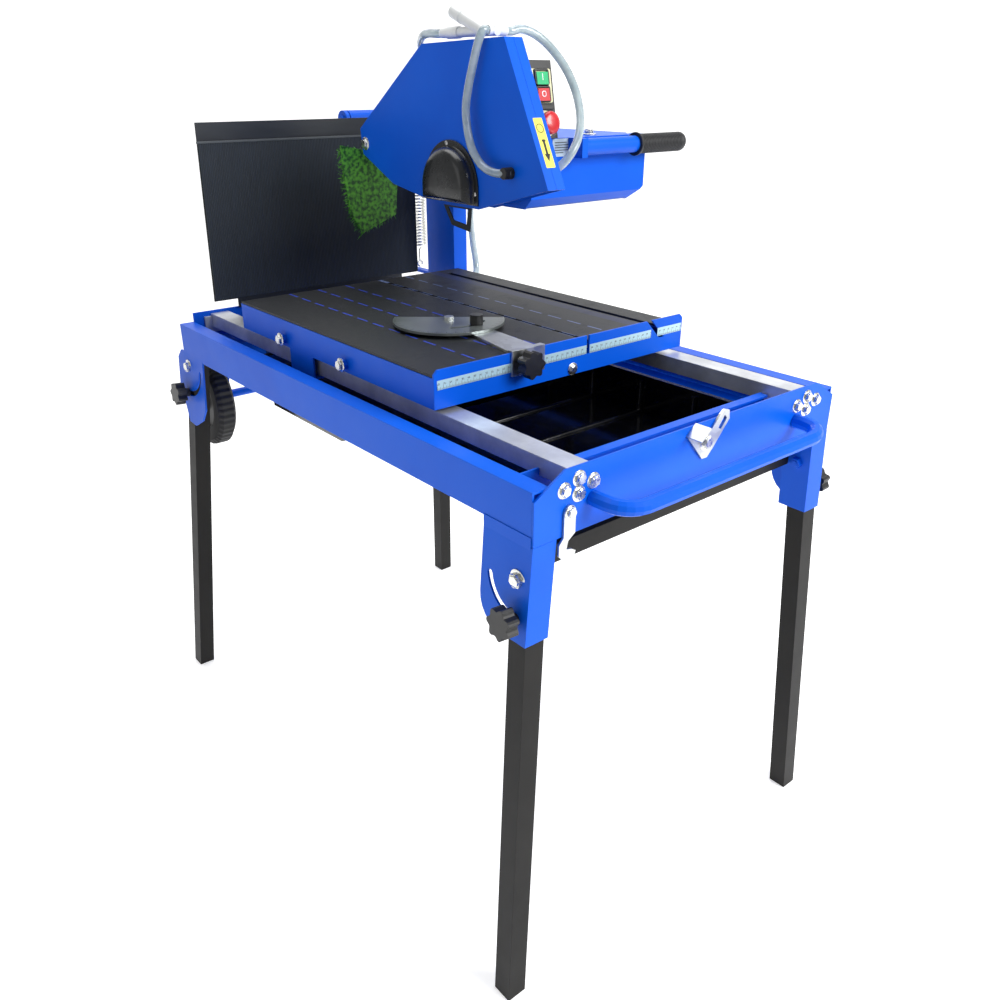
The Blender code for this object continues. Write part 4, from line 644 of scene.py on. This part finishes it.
LEFT_HOSE = mm((20, -51, 1228), (18, -51, 1228), (12, -51, 1227), (6, -48, 1212), (4, -38, 1183),
               (3, -27, 1150), (1, -24, 1123), (0, -29, 1096), (0, -40, 1069), (1, -62, 1048),
               (2, -89, 1040), (7, -110, 1040), (14.8, -110, 1040))
RIGHT_HOSE = mm((55.6, -51, 1228), (66, -51, 1228), (82, -55, 1231), (106, -60, 1224),
                (125, -72, 1207), (139, -90, 1180), (142, -110, 1149), (130, -134, 1117),
                (114, -149, 1090), (97, -155, 1070), (82, -150, 1052), (66, -140, 1041),
                (51.8, -140, 1041))
SUPPLY_HOSE = mm((34, 74.6, 1228), (34, 90, 1228), (37, 112, 1229), (44, 140, 1226),
                 (76, 190, 1212), (140, 240, 1190), (210, 280, 1160), (268, 312, 1115),
                 (298, 332, 1060), (304, 345, 990), (302, 352, 912), (312, 358, 855),
                 (319, 357, 811), (310, 347, 789), (284, 336, 776), (260, 334, 764),
                 (247, 338, 742), (232, 338, 732), (206, 338, 734), (184, 330, 741),
                 (170, 308, 746), (168, 280, 726), (168, 262, 700), (168, 262, 640))
MEETING = 8


def hose(name, points, radius, body, *stands_for):
    """A smooth tube through the points, riding on a body when one is given."""
    path = smooth(points)
    length = sum((b - a).length for a, b in zip(path, path[1:]))
    made = add(name, tube(path, radius, 20), HOSE, body, "hose", *stands_for)
    return made


hose("nozzle_hose_left", LEFT_HOSE, 6.2 * MM, "head", "hose_left")
hose("nozzle_hose_right", RIGHT_HOSE, 6.2 * MM, "head", "hose_right")
upper = hose("supply_hose_upper", SUPPLY_HOSE[:MEETING + 1], 6.5 * MM, None)
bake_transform(upper)
lower = hose("supply_hose_lower", SUPPLY_HOSE[MEETING:], 6.5 * MM, None, "supply_hose")
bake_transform(lower)
print("hoses made")


# %% Hose fittings and the round valve handle
def ferrule(name, start, direction, length, radius, body="head"):
    """Ribbed plastic hose nut along a direction."""
    rings = 6
    profile = [(0, radius * 0.62), (0, radius * 0.92)]
    for i in range(rings):
        a, b = length * (i + 0.12) / rings, length * (i + 0.5) / rings
        profile += [(a, radius * 0.92), (a + 0.12 * (b - a), radius), (b, radius),
                    (b + 0.1 * MM, radius * 0.9)]
    profile += [(length, radius * 0.9), (length, radius * 0.62)]
    return add(name, lathe(profile, start, direction, 24), PLASTIC, body, "plastic")


ferrule("nozzle_nut_left", (0.0170, -0.110, 1.0400), (-1, 0.0, 0.0), 17 * MM, 8.4 * MM)
ferrule("nozzle_nut_right", (0.0515, -0.140, 1.041), (1, 0.02, 0.0), 17 * MM, 8.8 * MM)
tip = [(0, 1), (0, 5.4), (0.5, 5.8), (1.4, 5.8), (1.9, 5.0), (1.9, 1)]
VALVE = Vector((0, cos(radians(22)), sin(radians(22))))
VALVE_SPOT = Vector((0.034, -0.026, 1.228)) + VALVE * 76.2 * MM
add("valve_tip", lathe([(a * MM, r * MM) for a, r in tip], VALVE_SPOT, VALVE, 24), RED,
    "valve_handle_body", "red")
print("fittings made")


# %% [markdown]
# ## Bolts and screws
#
# Bright hex bolts with washers cover the painted bolt heads of the frame; small domed screws
# hold the hub cover and the belt cover.

# %% Bolt shapes
def hex_bolt(origin, direction, size, height, washer=True):
    """A chamfered hex head with a raised washer, looking along direction."""
    half = size / 2
    flat = [(half / cos(pi / 6) * cos(pi / 3 * i + 0.3), half / cos(pi / 6) * sin(pi / 3 * i + 0.3))
            for i in range(6)]
    body = plate(flat, height, origin, direction)
    work = bmesh.new()
    work.from_mesh(body)
    top = [e for e in work.edges if all((axis_matrix(origin,
                                                     direction).inverted() @ v.co).z > height * 0.9
                                        for v in e.verts)]
    bmesh.ops.bevel(work, geom=top, offset=size * 0.09, segments=2, affect="EDGES")
    work.to_mesh(body)
    work.free()
    if not washer:
        return body
    ring = lathe([(0, size * 0.78), (0.9 * MM, size * 0.78), (1.3 * MM, size * 0.72),
                  (1.3 * MM, size * 0.3)],
                 origin, direction, 28)
    return joined(body, ring)


def screw(origin, direction, radius):
    """A domed cross-head screw."""
    profile = [(0, radius), (0.4 * MM, radius), (1.2 * MM, radius * 0.8), (1.7 * MM, radius * 0.45),
               (1.8 * MM, 0.1 * MM)]
    return lathe(profile, origin, direction, 20)


SPLAY = radians(4.2)
FRONT = (0, -1, 0)
heads = [hex_bolt((x * MM, -0.5143, z * MM), FRONT, 13 * MM, 6.4 * MM)
         for x, z in ((-202.9, 748), (202.9, 748), (-249.1, 748), (249.1, 748), (-226, 757), (226, 757),
                      (-226, 738), (226, 738))]
for side in (-1, 1):
    for spot in ((0.2988, -0.4934, 0.642), (0.2960, 0.441, 0.680)):
        out = (side * cos(SPLAY), 0, -sin(SPLAY))
        start = Vector((side * spot[0], spot[1], spot[2])) - Vector(out) * 1.6 * MM
        heads.append(hex_bolt(start, out, 17 * MM, 8.4 * MM))
add("frame_bolts", joined(*heads), BOLT, "frame", "zinc")
add("lock_bolt", hex_bolt((-0.004, -0.5182, 0.747), FRONT, 15 * MM, 6.8 * MM), BOLT,
    "lock_bracket_body", "zinc")
add("latch_bolt", hex_bolt((-0.2415, -0.5182, 0.720), FRONT, 11 * MM, 5.5 * MM), BOLT,
    "hook_latch_body", "zinc")
rollers = [hex_bolt(((-0.2530 if side < 0 else 0.2300), y, 0.7863), (side, 0, 0), 13.5 * MM, 6 * MM)
           for side in (-1, 1) for y in (-0.045, 0.141)]
rollers.append(hex_bolt((0.0034, -0.2652, 0.7825), FRONT, 12 * MM, 5 * MM))
add("table_bolts", joined(*rollers), BOLT, "table", "zinc")
add("guide_pin", hex_bolt((*GUIDE_CENTRE, 0.8272), (0, 0, 1), 13 * MM, 6.2 * MM), BOLT,
    "mitre_guide", "zinc")
add("guard_bolt", hex_bolt((0.0172, 0.284, 1.061), (-1, 0, 0), 14 * MM, 6 * MM), BOLT, "head", "zinc")
print("bolts made:", len(heads) + len(rollers) + 4)


# %% [markdown]
# ## Hub cover, grip and switch
#
# The hub cover is a moulded dome on a thin flange. The grip is ribbed rubber over the handle tube.

# %% Hub cover
def arch(radius, low, count=26):
    """Outline of a tombstone: a half circle on straight sides, in (y, z)."""
    cy, cz = 0.036, 1.010
    turn = [pi * i / count for i in range(count + 1)]
    curve = [(cy + radius * cos(t), cz + radius * sin(t)) for t in turn]
    return [*curve, (cy - radius, low), (cy + radius, low)]


def dome():
    """Nested arches that step out from the guard: a thin flange, then a rounded bowl."""
    rings = [(16.6, 69.0, 986), (14.6, 69.0, 986), (14.2, 68.6, 986.3), (14.0, 60.5, 988),
             (12.0, 59.5, 988.4)]
    for i in range(1, 9):
        t = i / 8 * pi / 2
        rings.append((12.0 - 17.0 * sin(t) * 0.8 - i * 0.5, 59.5 - 13.5 * (1 - cos(t)),
                      988.4 + 8 * (1 - cos(t))))
    rings += [(-7.0, 38.0, 1002), (-7.4, 20.0, 1008), (-7.5, 4.0, 1009.5)]
    verts, faces = [], []
    for x, radius, low in rings:
        verts += [(x * MM, y, z) for y, z in arch(radius * MM, low * MM)]
    count = len(arch(0.069, 0.986))
    for ring in range(len(rings) - 1):
        for i in range(count):
            j = (i + 1) % count
            a, b = ring * count, (ring + 1) * count
            faces.append((a + i, a + j, b + j, b + i))
    faces += [tuple(range(count)), tuple(range(len(verts) - count, len(verts)))]
    return mesh_of(verts, faces)


add("hub_cover_shell", dome(), SATIN, "head", "plastic", "hub_cover")
screws = [screw((0.0147, y, z), (-1, 0, 0), 4 * MM)
          for y, z in ((0.044, 1.0735), (0.098, 1.001), (-0.026, 1.003))]
add("hub_cover_screws", joined(*screws), STEEL, "head", "zinc")


# %% Grip
def grip():
    """A soft grip: flange at the inner end, rows of ribs and a rounded cap."""
    start, length = 0.2525, 0.1130
    profile = [(0, 12.6), (0, 17.4), (2.5, 17.6), (4.5, 16.9), (6, 14.6)]
    along = 8.0
    while along < 98:
        profile += [(along, 14.2), (along + 0.5, 14.9), (along + 2.1, 14.9), (along + 2.6, 14.2)]
        along += 3.6
    profile += [(100, 14.2), (102, 14.9)]
    profile += [(104 + 9 * sin(t), 15 - 7 * (1 - cos(t))) for t in [pi / 2 * i / 5 for i in range(6)]]
    profile += [(113, 1)]
    scaled = [(a * MM, r * MM) for a, r in profile]
    return lathe(scaled, (start, -0.134, 1.072), (1, 0, 0), 40)


add("ribbed_grip", grip(), RUBBER, "head", "rubber", "handle_grip")
print("hub cover and grip made")

# %% Switch face, frames and buttons
LEAN = radians(11)
FACE = (0, -cos(LEAN), sin(LEAN))
MIDDLE = 0.076


def on_face(z, off=0.0):
    """A point on the leaning switch face at a height, standing off it."""
    y = -0.120 + (z - 1.085) * tan(LEAN)
    return Vector((MIDDLE, y, z)) + Vector(FACE) * off


def frame_ring(wide, tall, border, depth, z, corner=3 * MM):
    """A raised rectangular frame with an opening, on the switch face."""
    def outline(w, h, r):
        points = []
        for sx, sz, start in ((1, 1, 0), (-1, 1, 90), (-1, -1, 180), (1, -1, 270)):
            points += [(sx * (w - r) + r * cos(radians(start + a)),
                        sz * (h - r) + r * sin(radians(start + a)))
                       for a in (0, 30, 60, 90)]
        return points
    outer, inner = outline(wide, tall, corner), outline(wide - border, tall - border, corner * 0.6)
    count = len(outer)
    verts = []
    shoulder = outline(wide - 0.8 * MM, tall - 0.8 * MM, corner)
    for ring, level in ((outer, 0), (outer, depth * 0.7), (shoulder, depth), (inner, depth),
                        (inner, 0)):
        verts += [(a, b, level) for a, b in ring]
    faces = [(r * count + i, r * count + (i + 1) % count, (r + 1) * count + (i + 1) % count,
              (r + 1) * count + i)
             for r in range(4) for i in range(count)]
    faces += [(4 * count + i, 4 * count + (i + 1) % count, (i + 1) % count, i) for i in range(count)]
    return mesh_of(verts, faces, axis_matrix(on_face(z), FACE))


def face_plate(wide, tall, depth, z):
    """A rounded plate on the switch face."""
    mesh = rounded_box((-wide, -tall, 0), (wide, tall, depth), min(depth, wide, tall) * 0.45)
    mesh.transform(axis_matrix(on_face(z), FACE))
    return mesh


add("switch_plate", frame_ring(19.5 * MM, 23 * MM, 6 * MM, 1.6 * MM, 1.156), CREAM, "head", "plastic")
add("switch_frames", joined(frame_ring(14.2 * MM, 11.2 * MM, 2.6 * MM, 4.6 * MM, START_KEY_Z),
                            frame_ring(14.2 * MM, 11.2 * MM, 2.6 * MM, 4.6 * MM, STOP_KEY_Z),
                            face_plate(19.5 * MM, 4.2 * MM, 3.2 * MM, 1.1275)),
    PLASTIC, "head", "plastic")
cap = rounded_box((0.0535, -0.0985, 1.1705), (0.0985, -0.050, 1.1782), 2.4 * MM)
add("switch_cap", cap, PLASTIC, "head", "plastic")
ring = lathe([(0, 19 * MM), (0.7 * MM, 19 * MM), (1.3 * MM, 18 * MM), (1.3 * MM, 10.4 * MM)],
             on_face(STOP_Z), FACE, 40)
add("stop_collar", ring, CREAM, "head", "plastic")
mushroom = [(0, 10), (1.4, 10), (2.2, 15.2), (3.4, 16), (7, 16), (9, 15.2), (10.6, 13), (11.6, 9),
            (12, 4), (12, 0.5)]
head_spot = on_face(STOP_Z, 6.8 * MM)
add("stop_head", joined(lathe([(a * MM, r * MM) for a, r in mushroom], head_spot, FACE, 40),
                        lathe([(-6 * MM, 9.6 * MM), (1 * MM, 9.6 * MM)], head_spot, FACE, 24)),
    RED, "estop_button_body", "red", "estop_button")
BAR = mm((-0.6, -4.5), (0.6, -4.5), (0.6, 4.5), (-0.6, 4.5))
for name, mark in (("start", plate(BAR, 0.4 * MM, on_face(START_KEY_Z), FACE)),
                   ("stop", frame_ring(4 * MM, 4 * MM, 1 * MM, 0.4 * MM, STOP_KEY_Z))):
    mark.transform(Matrix.Translation(Vector(FACE) * 4.95 * MM))
    add(name + "_mark", mark, PALE, name + "_button_body", "white")
print("switch detailed")

# %% [markdown]
# ## Spring
#
# A close-wound coil between the base and the rear of the head, in a lower and an upper half that meet
# halfway up; both stand in place, on no body.

# %% Spring
SPRING = (0.279, 0.506)
COIL_R = 14.4 * MM
WIRE_R = 1.75 * MM
TURNS = 31
LOW, MIDDLE_Z, HIGH = 0.830, 0.930, 1.029


def coil_point(share):
    turn = 2 * pi * TURNS * share
    return (SPRING[0] + COIL_R * cos(turn), SPRING[1] + COIL_R * sin(turn), LOW + (HIGH - LOW) * share)


def hook(z_coil, z_end, sign):
    """Wire from the coil's end to the middle, and on to a small eye."""
    x, y = SPRING
    points = [(x + COIL_R * 0.5, y, z_coil + sign * 3 * MM), (x, y, z_coil + sign * 8 * MM),
              (x, y, z_end - sign * 14 * MM)]
    points += [(x + 6 * MM * sin(t), y, z_end - sign * (8 * MM + 6 * MM * cos(t)))
               for t in [pi / 6 * i for i in range(1, 12)]]
    return points


per_turn = 14
steps = TURNS * per_turn
half = steps // 2
low_wire = smooth(hook(LOW, 0.785, -1)[::-1], 3) + [coil_point(i / steps) for i in range(half + 1)]
high_wire = [coil_point(i / steps) for i in range(half, steps + 1)] + smooth(hook(HIGH, 1.078, 1), 3)
lower = add("spring_lower", tube(low_wire, WIRE_R, 8), BOLT, None, "zinc", "head_spring")
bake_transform(lower)
upper = add("spring_upper", tube(high_wire, WIRE_R, 8), BOLT, None, "zinc")
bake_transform(upper)
print("spring wound:", TURNS, "turns")

# %% [markdown]
# ## Tape, labels and the cover's fittings

# %% Scale tape on the table's front lip
tapes = [rounded_box((a * MM, -0.26545, LIP_LOW), (b * MM, -0.2650, LIP_HIGH), 0.15 * MM, 1)
         for a, b in ((-240, 31.0), (37.2, 171.5), (186.5, 243))]
add("scale_tape", joined(*tapes), SCALE, "table", "white")

# %% Labels
RIM = Vector((0, -0.895, 0.445)).normalized()
RIM_SPOT = Vector((0.0350, -0.190 + (1.083 - 1.022) * 98 / 197, 1.083))


def label(wide, tall, thick, centre, direction, corner=1.5 * MM):
    outline = []
    for sx, sz, start in ((1, 1, 0), (-1, 1, 90), (-1, -1, 180), (1, -1, 270)):
        outline += [(sx * (wide - corner) + corner * cos(radians(start + a)),
                     sz * (tall - corner) + corner * sin(radians(start + a))) for a in (0, 30, 60, 90)]
    return plate(outline, thick, centre, direction)


def ring_mark(outer, inner, centre, direction):
    sides = 32
    place = axis_matrix(centre, direction)
    verts, faces = [], []
    for radius, level in ((inner, 0), (outer, 0), (outer, 0.25 * MM), (inner, 0.25 * MM)):
        verts += circle(radius, level, sides)
    for ring in range(4):
        for i in range(sides):
            j, a, b = (i + 1) % sides, ring * sides, (ring + 1) % 4 * sides
            faces.append((a + i, a + j, b + j, b + i))
    return mesh_of(verts, faces, place)


add("guard_label", label(8.6 * MM, 36 * MM, 0.35 * MM, RIM_SPOT, RIM), YELLOW, "head", "white")
face = axis_matrix(RIM_SPOT + RIM * 0.35 * MM, RIM)
ARROW = mm((-2, 5), (-4.4, 2), (-2, 2), (-2, -16), (-5, -16), (0, -27), (5, -16), (2, -16), (2, 2),
           (4.4, 2), (2, 5))
arrow = plate(ARROW, 0.2 * MM, RIM_SPOT + RIM * 0.35 * MM, RIM)
disc = ring_mark(6.6 * MM, 5.6 * MM, face @ Vector((0, 21 * MM, 0)), RIM)
add("guard_label_marks", joined(arrow, disc), INK, "head", "white")
add("cover_plate", label(24.5 * MM, 12.6 * MM, 0.5 * MM, (0.1175, -0.1149, 1.0715), FRONT), SILVER,
    "head", "white")
lines = [label(w * MM, 0.55 * MM, 0.15 * MM, ((0.1175 - (20 - w) * MM), -0.1154, 1.0715 + k * 3.6 * MM),
               FRONT, 0.2 * MM)
         for k, w in ((2, 12), (1, 19), (0, 16), (-1, 19), (-2, 9))]
add("cover_plate_lines", joined(*lines), INK, "head", "plastic")

# %% Cable gland and cover screws
gland = [(0, 9), (0, 12), (2, 12), (2.6, 11), (2.6, 7), (6, 7), (6.6, 6), (8.6, 6), (9.4, 4.8),
         (9.4, 1)]
add("cable_gland", lathe([(a * MM, r * MM) for a, r in gland], (0.200, -0.084, 1.0848), (0, 0, 1), 24),
    BOLT, "head", "zinc")
cover_screws = [screw((x, y, 1.0849), (0, 0, 1), 4.2 * MM)
                for x, y in ((0.115, 0.100), (0.285, 0.100), (0.285, -0.09))]
add("cover_screws", joined(*cover_screws), BOLT, "head", "zinc")
print("tape, labels and gland made")

# %% [markdown]
# ## Tray, board, turf, legs and motor

# %% Tray ribs and board strip
ribs = []
for i in range(11):
    y = (-395 + i * 62) * MM
    foot = 0.640 if y > 0.08 else 0.676
    ribs.append(rounded_box((-0.1995, y, foot), (-0.1950, y + 22 * MM, 0.712), 2.1 * MM))
    ribs.append(rounded_box((0.1950, y, foot), (0.1995, y + 22 * MM, 0.712), 2.1 * MM))
add("tray_ribs", joined(*ribs), TRAY, "frame", "tray")
strip = rounded_box((-0.2265, 0.4380, 1.0620), (0.2265, 0.4404, 1.0662), 0.9 * MM, 2)
add("rubber_edge", strip, EDGE, "frame", "rubber")

# %% Corrugations inside the tray, and the ledges that carry its rim
waves = []
for y in (-345, -235, -125, -15):
    route = mm((-190.5, y, 721), (-190.5, y, 690), (-189, y, 675), (-178, y, 667.5), (0, y, 667.5),
               (178, y, 667.5), (189, y, 675), (190.5, y, 690), (190.5, y, 721))
    waves.append(tube(smooth(route, 4), 4.5 * MM, 12))
add("tray_corrugations", joined(*waves), TRAY, "frame", "tray")
ledges = []
for side in (-1, 1):
    outer, inner = sorted((side * 0.2035, side * 0.2900))
    ledges.append(rounded_box((outer, -0.508, 0.7015), (inner, 0.335, 0.7040), 0.8 * MM, 2))
add("tray_ledges", joined(*ledges), BLUE, "frame", "blue")

# %% Turf
# Corners of the flap and the y it hangs at, in millimetres.
TURF_Y = 302.5
TURF_EDGE = [(-22, 1020), (-10, 942), (13, 908), (85, 934), (91, 992), (20, 1050), (-24, 1059)]


def inside(x, z):
    hit = False
    for (ax, az), (bx, bz) in zip(TURF_EDGE, TURF_EDGE[1:] + TURF_EDGE[:1]):
        if (az > z) != (bz > z) and x < (bx - ax) * (z - az) / (bz - az) + ax:
            hit = not hit
    return hit


verts, faces = [], []
planted = 0
while planted < 3400:
    x, z = random.uniform(-24, 91), random.uniform(908, 1059)
    if not inside(x, z):
        continue
    planted += 1
    lean_x, lean_z = random.uniform(-11, 11), random.uniform(-15, 5)
    turn, wide = random.uniform(0, pi), random.uniform(0.8, 1.5)
    side = Vector((cos(turn), 0, sin(turn))) * wide
    root = Vector((x, TURF_Y, z))
    middle = root + Vector((lean_x * 0.35, 4.6, lean_z * 0.35))
    tip = root + Vector((lean_x, random.uniform(7.5, 9.6), lean_z))
    base = len(verts)
    thick = Vector((0, 0.35, 0.2))
    verts += [(v * MM)[:] for v in (root - side, root + side, root + thick, middle - side * 0.8,
                                    middle + side * 0.8, middle + thick, tip)]
    faces += [tuple(base + i for i in f) for f in
              ((0, 2, 1), (0, 1, 4, 3), (1, 2, 5, 4), (2, 0, 3, 5), (3, 4, 6), (4, 5, 6), (5, 3, 6))]
blades = bpy.data.meshes.new("blades")
blades.from_pydata(verts, [], faces)
backing = plate([(x * MM, z * MM) for x, z in TURF_EDGE], 2.2 * MM, (0, 0.3028, 0), FRONT)
add("turf", joined(backing, blades), TURF, "head", "turf", "turf_flap")
print("turf planted:", planted, "blades")

# %% Leg plugs
for name, node in frame["nodes"].items():
    if not name.endswith("_leg"):
        continue
    spots = [v.co for v in node.data.vertices]
    top, foot = max(v.z for v in spots), min(v.z for v in spots)
    parts = []
    for level, low, high in ((top, -6 * MM, 1.6 * MM), (foot, 0.2 * MM, 9 * MM)):
        ring = [v for v in spots if abs(v.z - level) < 0.5 * MM]
        cx = (min(v.x for v in ring) + max(v.x for v in ring)) / 2
        cy = (min(v.y for v in ring) + max(v.y for v in ring)) / 2
        grow = 12.4 * MM
        parts.append(rounded_box((cx - grow, cy - grow, level + low),
                                 (cx + grow, cy + grow, level + high), 1.6 * MM))
    add(name + "_plugs", joined(*parts), PLASTIC, name + "_body", "plastic")
print("legs plugged")

# %% Motor box
# The motor keeps its CAD shape: no fins are added to it.
low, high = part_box("motor")
print("motor box", [round(v, 3) for v in (*low, *high)])

# %% [markdown]
# ## Floor, light and finish

# %% Floor
def floor_look():
    look = Look("studio floor", Roughness=0.9, Emission_Color=(1, 1, 1), Emission_Strength=0.5)
    soft = look.noise(0.6, 2.0)
    look.set(Base_Color=look.mix(soft, (0.86, 0.86, 0.86), (0.9, 0.9, 0.9)))
    return look.material


def backdrop():
    """A floor that curves up into a wall behind the object, as seen from the camera."""
    reach, bend, height = 5.0, 2.0, 8.0
    profile = [(-9.0, 0.0), (-4.0, 0.0), (0.0, 0.0), (reach - bend, 0.0)]
    profile += [(reach - bend + bend * sin(t), bend - bend * cos(t))
                for t in [pi / 2 * i / 12 for i in range(1, 13)]]
    profile += [(reach, height)]
    verts = [(side * 10.0, along, up) for along, up in profile for side in (-1, 1)]
    faces = [(2 * i, 2 * i + 1, 2 * i + 3, 2 * i + 2) for i in range(len(profile) - 1)]
    return mesh_of(verts, faces, Matrix.Rotation(radians(-40), 4, "Z"))


ground = backdrop()
ground.materials.append(floor_look())
ground.shade_smooth()
floor = bpy.data.objects.new("floor", ground)
floor.location.z = -0.0005
bpy.context.collection.objects.link(floor)


# %% Light
def softbox(name, place, aim, size, power):
    light = bpy.data.lights.new(name, "AREA")
    light.shape = "RECTANGLE"
    light.size, light.size_y = size
    light.energy = power
    lamp = bpy.data.objects.new(name, light)
    lamp.location = place
    lamp.rotation_euler = (Vector(aim) - Vector(place)).to_track_quat("-Z", "Y").to_euler()
    bpy.context.collection.objects.link(lamp)


softbox("key", (1.3, -3.2, 2.6), (0, 0, 0.8), (2.2, 1.8), 165)
softbox("side", (-3.2, 0.4, 1.9), (0, 0, 0.7), (1.8, 2.2), 9)
softbox("top", (0.3, 0.6, 3.4), (0, 0, 0.8), (2.6, 2.2), 62)
world = bpy.data.worlds.new("studio")
world.use_nodes = True
world.node_tree.nodes["Background"].inputs["Color"].default_value = (1, 1, 1, 1)
world.node_tree.nodes["Background"].inputs["Strength"].default_value = 0.3
bpy.context.scene.world = world
bpy.context.scene.view_settings.view_transform = "Standard"
print("lit")
